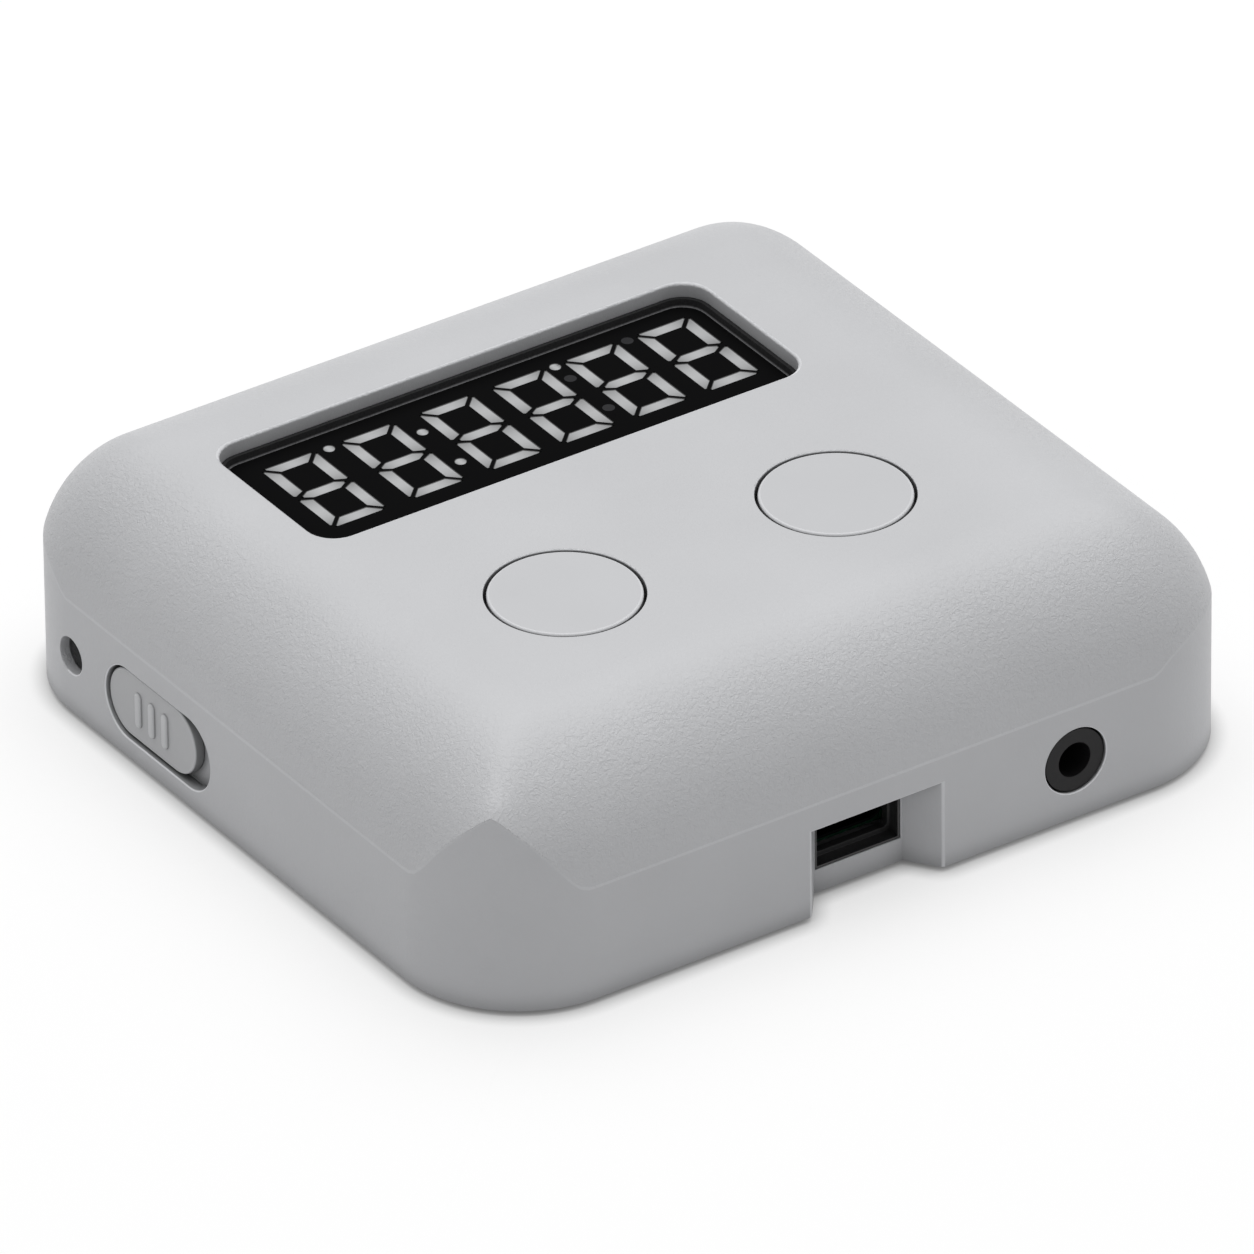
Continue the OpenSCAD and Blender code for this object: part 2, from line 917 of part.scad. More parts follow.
module display_board() {
    color([0.1, 0.33, 0.2])
        difference() {
            translate([window_x, (panel_front + panel_back) / 2, panel_z])
                linear_extrude(panel_t)
                    rounded(panel_w, panel_back - panel_front, panel_corner);
            at_posts()
                translate([0, 0, panel_z - cut])
                    cylinder(r = post_hole_r, h = panel_t + 2 * cut);
            at_display_pins()
                block(pin_hole, pin_hole, panel_t + 2 * cut, panel_z - cut);
            at_header()
                block(pin_hole, pin_hole, panel_t + 2 * cut, panel_z - cut);
        }
}

module display_board_screws() {
    color([0.62, 0.63, 0.65])
        at_posts()
            screw(post_screw_r, post_screw_l, post_head_r, post_head_t, panel_z);
}

/* Main board and what it carries */

module main_board() {
    color([0.1, 0.33, 0.2])
        difference() {
            translate([0, 0, board_z])
                linear_extrude(board_t)
                    rounded(board_w, board_d, board_corner);
            translate([-board_notch_w / 2, front_y, board_z - cut])
                cube([board_notch_w, board_notch_y - front_y, board_t + 2 * cut]);
            at_corners(boss_x, boss_y)
                translate([0, 0, board_z - cut])
                    cylinder(r = screw_hole_r, h = board_t + 2 * cut);
        }
}

module chip(c) {
    translate([c[0], c[1], 0])
        block(c[2], c[3], c[4], board_top + chip_up);
}

module microcontroller() {
    color([0.09, 0.09, 0.095])
        chip(controller);
}

module display_driver() {
    color([0.09, 0.09, 0.095])
        chip(driver);
}

module charge_chip() {
    color([0.09, 0.09, 0.095])
        chip(charger);
}

// Bent leads along the two long sides of a chip
module lead_rows(c, count, pitch) {
    up = c[4] * 0.45;
    for (i = [0:count - 1], j = [-1, 1])
        translate([c[0] + (i - (count - 1) / 2) * pitch, c[1], board_top])
            rotate([0, 0, j > 0 ? 0 : 180])
                translate([-lead_w / 2, c[3] / 2, 0]) {
                    cube([lead_w, lead_out, lead_t]);
                    translate([0, 0, up])
                        cube([lead_w, lead_out / 2, lead_t]);
                    translate([0, lead_out / 2 - lead_t, 0])
                        cube([lead_w, lead_t, up + lead_t]);
                }
}

module chip_leads() {
    color([0.75, 0.75, 0.76]) {
        lead_rows(controller, 8, fine_pitch);
        lead_rows(driver, 12, wide_pitch);
        lead_rows(charger, 4, fine_pitch);
    }
}

module crystal() {
    color([0.78, 0.78, 0.79])
        translate([crystal_x, crystal_y, board_top])
            rotate([0, 0, 90]) {
                linear_extrude(can_rim_t)
                    stadium(can_l + 2 * can_rim, can_w + 2 * can_rim);
                linear_extrude(can_h)
                    stadium(can_l, can_w);
            }
}

module capacitors() {
    color([0.2, 0.22, 0.3])
        for (i = [0, 1])
            translate([cap_x + i * cap_pitch, cap_y, board_top]) {
                block(cap_base, cap_base, cap_base_t);
                cylinder(r = cap_r, h = cap_h);
            }
}

module small_capacitors() {
    color([0.62, 0.52, 0.4])
        for (spot = chip_cap_spots)
            translate([spot[0], spot[1], 0])
                block(chip_cap_l, chip_cap_w, chip_cap_h, board_top);
}

module resistors() {
    color([0.1, 0.1, 0.1])
        for (i = [0:resistor_count - 1])
            translate([resistor_x + i * resistor_pitch, resistor_y, 0])
                block(resistor_w, resistor_l, resistor_h, board_top);
}

// Puts a copy at each pin of the header between the boards
module at_header() {
    for (i = [-0.5, 0.5], j = [0:header_rows - 1])
        translate([header_x + i * header_pitch, header_y + (j - (header_rows - 1) / 2) * header_pitch, 0])
            children();
}

module header_socket() {
    color([0.08, 0.08, 0.085])
        difference() {
            translate([header_x, header_y, 0])
                block(header_w, header_l, socket_h, board_top);
            at_header()
                block(header_hole, header_hole, socket_h, board_top + header_floor);
        }
}

module header_strip() {
    color([0.08, 0.08, 0.085])
        difference() {
            translate([header_x, header_y, 0])
                block(header_w, header_l, header_base, panel_z - header_base);
            at_header()
                block(pin_side, pin_side, header_base + 2 * cut, panel_z - header_base - cut);
        }
}

module header_pins() {
    low = board_top + header_pin_low;
    color([0.82, 0.72, 0.42])
        at_header()
            block(pin_side, pin_side, panel_top + header_pin_high - low, low);
}

module battery() {
    color([0.7, 0.71, 0.72])
        translate([battery_x, battery_y, battery_z + battery_t / 2])
            rotate([0, 90, 0])
                linear_extrude(battery_l, center = true)
                    rounded(battery_t, battery_w, battery_round);
}

module battery_pad() {
    inset = 2 * battery_pad_inset;
    color([0.2, 0.2, 0.21])
        translate([battery_x, battery_y, 0])
            block(battery_l - inset, battery_w - inset, battery_pad_t, board_top);
}

module battery_socket() {
    color([0.9, 0.89, 0.85])
        difference() {
            translate([socket_end - socket_l / 2, plug_y, 0])
                block(socket_l, plug_w + 2 * socket_wall, socket_high, board_top);
            translate([socket_end - socket_l / 2 + socket_back, plug_y, 0])
                block(socket_l, plug_w, socket_hole_h, board_top + socket_wall);
        }
}

module battery_plug() {
    color([0.93, 0.92, 0.88])
        translate([plug_end - plug_l / 2, plug_y, 0])
            block(plug_l, plug_w - 2 * plug_gap, plug_h, board_top + socket_wall + plug_gap);
}

module battery_leads() {
    to = battery_x - battery_l / 2;
    color([0.7, 0.1, 0.08])
        for (j = [-1, 1])
            translate([plug_end, plug_y + j * wire_pitch / 2, battery_z + wire_up])
                rotate([0, 90, 0])
                    cylinder(r = wire_r, h = to - plug_end, $fn = 32);
}

module buzzer() {
    color([0.1, 0.1, 0.105])
        difference() {
            translate([buzzer_x + buzzer_l / 2, sound_y, 0])
                block(buzzer_l, buzzer_w, buzzer_h, board_top);
            on_left(buzzer_x - cut, sound_y, sound_z, buzzer_l - buzzer_end_wall + cut)
                circle(buzzer_hole_r);
        }
}

/* Charging socket */

module port_frame() {
    nose_w = port_w - 2 * nose_gap;
    nose_h = port_h - 2 * nose_gap;
    middle = port_z + port_h / 2;
    color([0.07, 0.07, 0.075])
        difference() {
            union() {
                on_front(0, frame_front, (frame_low + frame_top) / 2, frame_t)
                    square([frame_w, frame_top - frame_low], center = true);
                on_front(0, notch_back + nose_inset, middle, notch_wall)
                    square([nose_w, nose_h], center = true);
            }
            on_front(0, notch_back - cut, middle, notch_wall + cut)
                square([nose_w - 2 * nose_t, nose_h - 2 * nose_t], center = true);
            on_front(0, notch_back, shell_z, notch_wall + frame_t + 2 * cut)
                rounded(mouth_w, mouth_h, mouth_r);
        }
}

module port_shell() {
    color([0.66, 0.67, 0.68])
        difference() {
            on_front(0, shell_front, shell_z, shell_l)
                stadium(shell_w, shell_h);
            on_front(0, shell_front - cut, shell_z, shell_l - shell_t + cut)
                stadium(shell_w - 2 * shell_t, shell_h - 2 * shell_t);
        }
}

module port_tongue() {
    color([0.1, 0.1, 0.105])
        on_front(0, shell_front + tongue_in, shell_z, shell_l - shell_t - tongue_in)
            square([tongue_w, tongue_t], center = true);
}

module port_contacts() {
    up = (tongue_t + contact_t) / 2;
    color([0.85, 0.7, 0.35])
        for (i = [-5.5:5.5], j = [-1, 1])
            on_front(i * contact_pitch, shell_front + contact_in, shell_z + j * up, contact_l)
                square([contact_w, contact_t], center = true);
}

/* 3.5 mm socket */

module jack_body() {
    color([0.085, 0.083, 0.085])
        difference() {
            union() {
                translate([jack_x - jack_w / 2, jack_front, board_top])
                    cube([jack_w, jack_l, jack_h]);
                on_front(jack_x, front_y + jack_inset, jack_z, jack_front - front_y - jack_inset)
                    circle(jack_nose_r);
            }
            on_front(jack_x, front_y - cut, jack_z, jack_bore_end - front_y + cut)
                circle(jack_bore_r);
            // slot for the tip contact, open on top
            translate([jack_x, jack_end - jack_slot_end - jack_slot_l / 2, 0])
                block(jack_slot_w, jack_slot_l, jack_h, jack_z + jack_slot_up);
        }
}

module jack_contacts() {
    leaf_w = jack_slot_w - 2 * jack_leaf_gap;
    leaf_y = jack_end - jack_slot_end - jack_slot_l / 2 - jack_leaf_l / 2;
    color([0.78, 0.77, 0.74]) {
        translate([jack_x - leaf_w / 2, leaf_y, jack_z + jack_slot_up])
            cube([leaf_w, jack_leaf_l, jack_tab_t]);
        for (i = [-1, 1], y = [jack_front + jack_tab_front, jack_end - jack_tab_back])
            translate([jack_x + i * (jack_w + jack_tab_t) / 2, y, 0])
                block(jack_tab_t, jack_tab_w, jack_tab_h, board_top);
    }
}

/* Power slider */

module slide_switch_case() {
    walls = 2 * switch_wall;
    slot_l = slider_travel + lever_w + 2 * switch_slot_gap;
    color([0.75, 0.76, 0.77])
        translate([0, slider_y, 0])
            difference() {
                translate([switch_front + switch_deep / 2, 0, 0])
                    block(switch_deep, switch_l, switch_h, board_top);
                translate([switch_front + switch_deep / 2, 0, 0])
                    block(switch_deep - walls, switch_l - walls, switch_h - walls, board_top + switch_wall);
                on_left(switch_front - cut, 0, slider_z, switch_wall + 2 * cut)
                    square([slot_l, lever_h + 2 * lever_gap], center = true);
            }
}

module slide_switch_terminals() {
    color([0.8, 0.79, 0.74])
        for (j = [-1:1])
            translate([switch_front + switch_deep + switch_tab / 2, slider_y + j * switch_tab_pitch, 0])
                block(switch_tab, switch_tab, switch_tab_h, board_top);
}

module slider_knob() {
    color([0.68, 0.685, 0.69])
        difference() {
            union() {
                on_left(knob_face, knob_y, slider_z, knob_back - knob_face)
                    stadium(knob_l, knob_w);
                // grip ribs
                for (i = [-1:1])
                    on_left(knob_face - rib_h, knob_y + i * rib_pitch, slider_z, rib_h + rib_root)
                        rotate(90)
                            stadium(rib_l, rib_w);
                // post through the slot, with a hook above and below
                on_left(knob_face + rib_root, knob_y, slider_z, hook_x + hook_t - knob_face - rib_root)
                    square([post_w, post_high], center = true);
                on_left(hook_x, knob_y, slider_z, hook_t)
                    square([post_w, post_high + 2 * (slot_gap + hook_reach)], center = true);
            }
            on_left(lever_tip, knob_y, slider_z, wall + 2 * cut)
                square([lever_w + lever_gap, lever_h + lever_gap], center = true);
        }
}

module slide_switch_lever() {
    foot_x = switch_front + switch_wall + lever_gap;
    color([0.1, 0.1, 0.105]) {
        on_left(lever_tip, knob_y, slider_z, foot_x + lever_foot_t / 2 - lever_tip)
            square([lever_w, lever_h], center = true);
        on_left(foot_x, knob_y, slider_z, lever_foot_t)
            square([lever_foot_w, lever_foot_h], center = true);
    }
}

/* Buttons */

module tact_bodies() {
    color([0.08, 0.08, 0.085])
        at_buttons()
            difference() {
                block(tact_side, tact_side, tact_h - tact_plate_t, panel_top);
                translate([0, 0, panel_top + tact_h - plunger_down - button_travel - tact_bottom_gap])
                    cylinder(r = plunger_r + slide_fit, h = tact_h);
            }
}

module tact_plates() {
    color([0.76, 0.77, 0.78])
        at_buttons()
            difference() {
                block(tact_side, tact_side, tact_plate_t, panel_top + tact_h - tact_plate_t);
                translate([0, 0, panel_top])
                    cylinder(r = plunger_r + slide_fit, h = tact_h + cut);
            }
}

module tact_terminals() {
    color([0.8, 0.79, 0.74])
        at_buttons()
            for (i = [-1, 1], j = [-1, 1])
                translate([i * (tact_side + tact_tab_l) / 2, j * tact_tab_y, 0])
                    block(tact_tab_l, tact_tab_w, tact_tab_h, panel_top);
}

module button_cap(x) {
    color([0.78, 0.785, 0.79])
        translate([x, -button_y, 0]) {
            difference() {
                union() {
                    translate([0, 0, flange_top - flange_t])
                        cylinder(r = button_r, h = top_z - flange_top + flange_t);
                    translate([0, 0, flange_top - flange_t])
                        cylinder(r = flange_r, h = flange_t);
                }
                translate([0, 0, flange_top - flange_t - cut])
                    cylinder(r = button_r - skirt_t, h = top_z - button_t - flange_top + flange_t + cut);
            }
            translate([0, 0, plunger_top])
                cylinder(r = stem_r, h = top_z - button_t / 2 - plunger_top);
        }
}

module plunger(x) {
    color([0.12, 0.12, 0.125])
        translate([x, -button_y, panel_top + tact_h - plunger_down])
            cylinder(r = plunger_r, h = plunger_up + plunger_down);
}

module left_button_cap() {
    button_cap(left_button_x);
}

module left_plunger() {
    plunger(left_button_x);
}

module right_button_cap() {
    button_cap(right_button_x);
}

module right_plunger() {
    plunger(right_button_x);
}

upper_case();
base_cover();
case_screws();
rubber_feet();
display_gasket();
display_housing();
display_segments();
display_dots();
display_pins();
display_board();
display_board_screws();
main_board();
microcontroller();
display_driver();
charge_chip();
chip_leads();
crystal();
capacitors();
small_capacitors();
resistors();
header_socket();
header_strip();
header_pins();
battery();
battery_pad();
battery_socket();
battery_plug();
battery_leads();
buzzer();
port_frame();
port_shell();
port_tongue();
port_contacts();
jack_body();
jack_contacts();
slide_switch_case();
slide_switch_terminals();
slider_knob();
slide_switch_lever();
tact_bodies();
tact_plates();
tact_terminals();
left_button_cap();
left_plunger();
right_button_cap();
right_plunger();
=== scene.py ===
from math import atan2, copysign, cos, exp, pi, radians, sin, sqrt, tan

import bmesh
import bpy
from mathutils import Matrix, Vector


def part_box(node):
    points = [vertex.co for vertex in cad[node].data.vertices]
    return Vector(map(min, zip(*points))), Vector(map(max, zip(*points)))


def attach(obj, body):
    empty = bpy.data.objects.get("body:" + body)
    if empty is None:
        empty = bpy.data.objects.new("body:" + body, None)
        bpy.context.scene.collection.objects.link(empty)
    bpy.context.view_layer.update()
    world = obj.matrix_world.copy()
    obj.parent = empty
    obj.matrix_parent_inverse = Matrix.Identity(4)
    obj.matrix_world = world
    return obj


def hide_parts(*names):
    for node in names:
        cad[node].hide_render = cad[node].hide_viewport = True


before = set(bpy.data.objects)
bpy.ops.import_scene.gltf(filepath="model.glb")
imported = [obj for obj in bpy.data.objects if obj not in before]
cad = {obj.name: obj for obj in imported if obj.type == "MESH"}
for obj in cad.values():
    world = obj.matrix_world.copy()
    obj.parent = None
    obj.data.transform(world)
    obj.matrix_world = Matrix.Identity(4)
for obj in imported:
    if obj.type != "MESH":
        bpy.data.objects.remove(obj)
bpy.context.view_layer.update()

# --- Table, lamps and camera ----------------------------------------------------
# The timer stands on a white table in an evenly lit room, under a wide soft lamp
# that hangs a little behind it. A long lens looks at its near left corner.


def node(tree, kind, inputs=None, **settings):
    """Adds a shader node, sets it up, and wires or fills the inputs that are named."""
    made = tree.nodes.new("ShaderNode" + kind)
    for name, value in settings.items():
        setattr(made, name, value)
    for name, value in (inputs or {}).items():
        if isinstance(value, bpy.types.NodeSocket):
            tree.links.new(value, made.inputs[name])
        else:
            made.inputs[name].default_value = value
    return made


def reckon(tree, operation, *values, **settings):
    """The result of one step of arithmetic."""
    return node(tree, "Math", dict(enumerate(values)), operation=operation, **settings).outputs[0]


def empty_material(name):
    """A new material with nothing in it but its output."""
    made = bpy.data.materials.new(name)
    made.use_nodes = True
    made.node_tree.nodes.clear()
    return made, made.node_tree, made.node_tree.nodes.new("ShaderNodeOutputMaterial")


def seen_directly(tree):
    """1 for rays that come from the camera, a mirror or a clear body, and 0 for the rest."""
    rays = node(tree, "LightPath").outputs
    seen = reckon(tree, "MAXIMUM", rays["Is Camera Ray"], rays["Is Glossy Ray"])
    return reckon(tree, "MAXIMUM", seen, rays["Is Transmission Ray"])


mm = 0.001
white_light = (1, 1, 1, 1)
table_size = 4
table_white = (0.97, 0.97, 0.97, 1)
table_bounce = (0.62, 0.62, 0.625, 1)
table_shade = 0.36
gap_shadow_reach = 2 * mm
bpy.ops.mesh.primitive_plane_add(size=table_size)
table = bpy.context.object
table.name = "table"
white_table, tree, out = empty_material("white_table")
lit = node(tree, "BsdfDiffuse", {"Color": table_white})
bounce = node(tree, "BsdfDiffuse", {"Color": table_bounce})
# the table's glow is dimmed by ambient occlusion under and beside the case: a painted contact shadow
gap_shadow = node(tree, "AmbientOcclusion", {"Distance": gap_shadow_reach}, samples=16)
glow = node(tree, "Emission", {"Color": white_light, "Strength": gap_shadow.outputs["AO"]})
shown = node(tree, "MixShader", {0: table_shade, 1: glow.outputs[0], 2: lit.outputs[0]})
both = node(tree, "MixShader", {0: seen_directly(tree), 1: bounce.outputs[0], 2: shown.outputs[0]})
tree.links.new(both.outputs[0], out.inputs["Surface"])
table.data.materials.append(white_table)

room_light = 0.5
room = bpy.data.worlds.new("room")
bpy.context.scene.world = room
room.use_nodes = True
tree = room.node_tree
tree.nodes.clear()
soft = node(tree, "Background", {"Color": white_light, "Strength": room_light})
white = node(tree, "Background", {"Color": white_light, "Strength": 1})
mix = node(tree, "MixShader", {0: node(tree, "LightPath").outputs["Is Camera Ray"],
                               1: soft.outputs[0], 2: white.outputs[0]})
tree.links.new(mix.outputs[0], tree.nodes.new("ShaderNodeOutputWorld").inputs["Surface"])


def soft_lamp(name, width, height, power, at, aim):
    """A rectangular lamp at a place, turned to face another place."""
    data = bpy.data.lights.new(name, "AREA")
    data.shape = "RECTANGLE"
    data.size = width
    data.size_y = height
    data.energy = power
    lamp_or_painted_glow = bpy.data.objects.new(name, data)
    bpy.context.scene.collection.objects.link(lamp_or_painted_glow)
    lamp_or_painted_glow.location = at
    lamp_or_painted_glow.rotation_euler = (Vector(aim) - Vector(at)).to_track_quat("-Z", "Y").to_euler()


soft_lamp("overhead_softbox", width=1.8, height=1.4, power=13.5, at=(0.2, 0.3, 1.2), aim=(0, 0, 0.02))

view_azimuth = radians(33.869)
view_elevation = radians(32.115)
view_roll = radians(-0.608)
view_distance = 2.0822
aim_point = Vector((1.98, 2.87, 6.15)) * mm
forward = Vector((sin(view_azimuth) * cos(view_elevation),
                  cos(view_azimuth) * cos(view_elevation), -sin(view_elevation)))
level_right = Vector((cos(view_azimuth), -sin(view_azimuth), 0))
level_up = level_right.cross(forward)
right = level_right * cos(view_roll) + level_up * sin(view_roll)
up = level_up * cos(view_roll) - level_right * sin(view_roll)
lens = bpy.data.cameras.new("long_lens")
lens.lens = 637.8
lens.sensor_width = 36
lens.clip_end = 20
camera = bpy.data.objects.new("camera", lens)
bpy.context.scene.collection.objects.link(camera)
camera.matrix_world = Matrix.LocRotScale(
    aim_point - forward * view_distance,
    Matrix((right, up, -forward)).transposed().to_quaternion(), None)
bpy.context.scene.camera = camera
bpy.context.scene.view_settings.view_transform = "Standard"

# --- Upper case -----------------------------------------------------------------
# One deep shell with a finely grained surface, moulded in light grey ABS. Bosses, posts
# and button rings hang from its roof. Each opening has a small rounded edge, and a recess
# thins the wall behind the sound hole.


def begin(add, name, **settings):
    """Adds a primitive and leaves it in edit mode, selected all over."""
    if bpy.context.object and bpy.context.object.mode == "EDIT":
        bpy.ops.object.mode_set(mode="OBJECT")
    bpy.ops.object.select_all(action="DESELECT")
    add(**settings)
    piece = bpy.context.object
    piece.name = name
    piece.data.name = name
    bpy.ops.object.mode_set(mode="EDIT")
    return piece


def end(piece):
    """Leaves edit mode with every face turned outwards and the place held in the mesh."""
    bpy.ops.mesh.select_all(action="SELECT")
    bpy.ops.mesh.remove_doubles(threshold=1e-7)
    bpy.ops.mesh.normals_make_consistent(inside=False)
    bpy.ops.object.mode_set(mode="OBJECT")
    bpy.ops.object.transform_apply(location=True, rotation=True, scale=True)
    return piece


def pick(piece, what, test):
    """In edit mode, selects the vertices, edges or faces that pass the test."""
    bpy.context.tool_settings.mesh_select_mode = (what == "verts", what == "edges", what == "faces")
    mesh = bmesh.from_edit_mesh(piece.data)
    for kind in (mesh.verts, mesh.edges, mesh.faces):
        for part in kind:
            part.select = False
    for part in getattr(mesh, what):
        if test(part):
            part.select_set(True)
    mesh.select_flush_mode()
    bmesh.update_edit_mesh(piece.data)


def extrude(move=(0, 0, 0), grow=(1, 1, 1), about=(0, 0, 0)):
    """Extrudes what is selected, moves it, then scales it about a point."""
    bpy.ops.mesh.extrude_region_move(TRANSFORM_OT_translate={"value": move})
    if tuple(grow) != (1, 1, 1):
        bpy.ops.transform.resize(value=grow, center_override=about)


def combine(piece, other, operation):
    """Adds or cuts off another closed piece, or keeps what both share. The other is used up."""
    step = piece.modifiers.new("combine", "BOOLEAN")
    step.operation = operation
    step.solver = "EXACT"
    step.object = other
    bpy.ops.object.select_all(action="DESELECT")
    bpy.context.view_layer.objects.active = piece
    piece.select_set(True)
    bpy.ops.object.modifier_apply(modifier=step.name)
    bpy.data.objects.remove(other)
    return piece


def cut(piece, other):
    """Cuts another closed piece out of a piece."""
    combine(piece, other, "DIFFERENCE")


def smooth(piece, angle=35):
    """Smooth shading up to an angle, with flat faces kept flat beside small roundings."""
    bpy.ops.object.select_all(action="DESELECT")
    bpy.context.view_layer.objects.active = piece
    piece.select_set(True)
    bpy.ops.object.shade_smooth_by_angle(angle=radians(angle))
    step = piece.modifiers.new("flat faces", "WEIGHTED_NORMAL")
    step.keep_sharp = True
    step.weight = 90
    bpy.ops.object.modifier_apply(modifier=step.name)
    return piece


case_low, case_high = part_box("upper_case")
case_w = case_high.x - case_low.x
case_d = case_high.y - case_low.y
case_edge = case_low.z
case_top = case_high.z
case_wall = 2.2 * mm
corner_r = 12.8 * mm
turn_r = 11.7 * mm
top_round = 13.8 * mm
crease = radians(3)
rim_round = 0.18 * mm
rim_highlight_fade = 3 * mm
arch_start = 2.2 * mm
arch_fade = 1.5
mitre_melted = 3.2
mitre_sharp = 22
mitre_reach = 0.9 * mm
tiny = 0.01 * mm


def round_plate(name, width, depth, radius, z, steps=16):
    """A flat plate with round corners, left in edit mode for more work."""
    piece = begin(bpy.ops.mesh.primitive_plane_add, name, size=1, location=(0, 0, 0))
    bpy.ops.transform.resize(value=(width, depth, 1), center_override=(0, 0, 0))
    bpy.ops.transform.translate(value=(0, 0, z))
    bpy.ops.mesh.bevel(offset=radius, segments=steps, profile=0.5, affect="VERTICES")
    return piece


def edge_drop(distance, radius):
    """How far a rounded top edge lies below the top, at a distance inside the wall's face."""
    reach = radius * cos(crease) - distance
    return radius - sqrt(max(radius * radius - max(reach, 0) ** 2, 0))


def inside_by(x, y, half_w, half_d, radius):
    """Distance of a point inside a rectangle with round corners from its outline."""
    in_x = abs(x) - (half_w - radius)
    in_y = abs(y) - (half_d - radius)
    if in_x > 0 and in_y > 0:
        return radius - sqrt(in_x * in_x + in_y * in_y)
    return radius - max(in_x, in_y)


def top_drop(x, y, half_w, half_d, inset):
    """Depth of the domed top below its flat part. The two roundings meet in a peak at the
    front left corner and run on round the other three."""
    radius = top_round - inset
    if x > 0 or y > 0:
        return edge_drop(inside_by(x, y, half_w, half_d, turn_r - inset), radius)
    side_drop = edge_drop(half_w - abs(x), radius)
    front_drop = edge_drop(half_d - abs(y), radius)
    drop = max(side_drop, front_drop)
    # the line where the walls end leaves the level softly before it climbs to the peak
    climb = radius * (1 - sin(crease)) - drop
    start = arch_start * min(1, abs(x) / half_w * 2) * min(1, abs(y) / half_d * 2) ** 2
    if climb > 0 and start > tiny:
        foot = climb * exp(-(climb / start) ** arch_fade)
        drop += foot
        side_drop += foot if side_drop > 0 else 0
        front_drop += foot if front_drop > 0 else 0
    if min(side_drop, front_drop) > 0:
        # the mitre is sharp at the outline and melts away inside it
        inside = inside_by(x, y, half_w, half_d, corner_r - inset)
        power = mitre_melted + mitre_sharp * exp(-inside / mitre_reach)
        drop *= (1 + (min(side_drop, front_drop) / drop) ** power) ** (1 / power)
    return drop


def case_body(name, inset, low, steps, rings):
    """The case's closed outer form with each face moved inwards: walls, then the domed top."""
    half_w = case_w / 2 - inset
    half_d = case_d / 2 - inset
    top = case_top - inset
    piece = round_plate(name, 2 * half_w, 2 * half_d, corner_r - inset, low, steps)
    extrude((0, 0, top - low))
    reach = (top_round - inset) * cos(crease)
    last = 0
    for ring in range(1, rings + 1):
        here = reach - (top_round - inset) * cos(crease + (pi / 2 - crease) * ring / rings)
        extrude(grow=((half_w - here) / (half_w - last), (half_d - here) / (half_d - last), 1))
        last = here
    mesh = bmesh.from_edit_mesh(piece.data)
    rim_highlight = mesh.verts.layers.float.new("rim_highlight")
    for v in mesh.verts:
        if v.co.z > (low + top) / 2:
            on_wall = inside_by(v.co.x, v.co.y, half_w, half_d, corner_r - inset) < tiny
            v[rim_highlight] = 1 if on_wall else 0
            v.co.z = top - top_drop(v.co.x, v.co.y, half_w, half_d, inset)
    bmesh.update_edit_mesh(piece.data)
    return piece


def soften_rim(piece, width):
    """Rounds the edge where the domed top meets the walls, and sets a fading painted highlight along
    its middle line.
    """
    rim_highlight = bmesh.from_edit_mesh(piece.data).verts.layers.float["rim_highlight"]
    pick(piece, "edges", lambda e: e.verts[0][rim_highlight] > 0.5 and e.verts[1][rim_highlight] > 0.5
         and min(e.verts[0].co.z, e.verts[1].co.z) > case_edge + mm)
    bpy.ops.mesh.bevel(offset=width, segments=4, profile=0.5, affect="EDGES", clamp_overlap=False)
    mesh = bmesh.from_edit_mesh(piece.data)
    rim_highlight = mesh.verts.layers.float["rim_highlight"]
    crease_z = case_top - top_round + top_round * sin(crease)
    for v in mesh.verts:
        middle = v.select and all(f.select for f in v.link_faces)
        v[rim_highlight] = exp(-max(v.co.z - crease_z, 0) / rim_highlight_fade) if middle else 0
    bmesh.update_edit_mesh(piece.data)


def prism(name, width, depth, radius, low, high, place=(0, 0), steps=8):
    """An upright block with round corners."""
    piece = round_plate(name, width, depth, radius, low, steps)
    extrude((0, 0, high - low))
    bpy.ops.mesh.select_all(action="SELECT")
    bpy.ops.transform.translate(value=(place[0], place[1], 0))
    return end(piece)


def rod(name, radius, low, high, place, steps=48):
    """An upright round rod."""
    piece = begin(bpy.ops.mesh.primitive_cylinder_add, name, vertices=steps, radius=radius,
                  depth=high - low, location=(*place, (low + high) / 2))
    return end(piece)


def notch_block(name, grow, low, high):
    """The notch's flared plan as a block, its walls moved outwards by grow. It starts in front
    of the case, where its slanted walls are carried on."""
    before = mm
    slope = 1 / cos(notch_slant)
    front_half = notch_half + grow * slope + before * tan(notch_slant)
    back_half = notch_rear_half + grow * (slope - tan(notch_slant))
    piece = begin(bpy.ops.mesh.primitive_plane_add, name, size=2, location=(0, 0, 0))
    mesh = bmesh.from_edit_mesh(piece.data)
    for v in mesh.verts:
        behind = v.co.y > 0
        v.co = (copysign(back_half if behind else front_half, v.co.x),
                notch_back + grow if behind else -case_d / 2 - before, low)
    bmesh.update_edit_mesh(piece.data)
    extrude((0, 0, high - low))
    return end(piece)


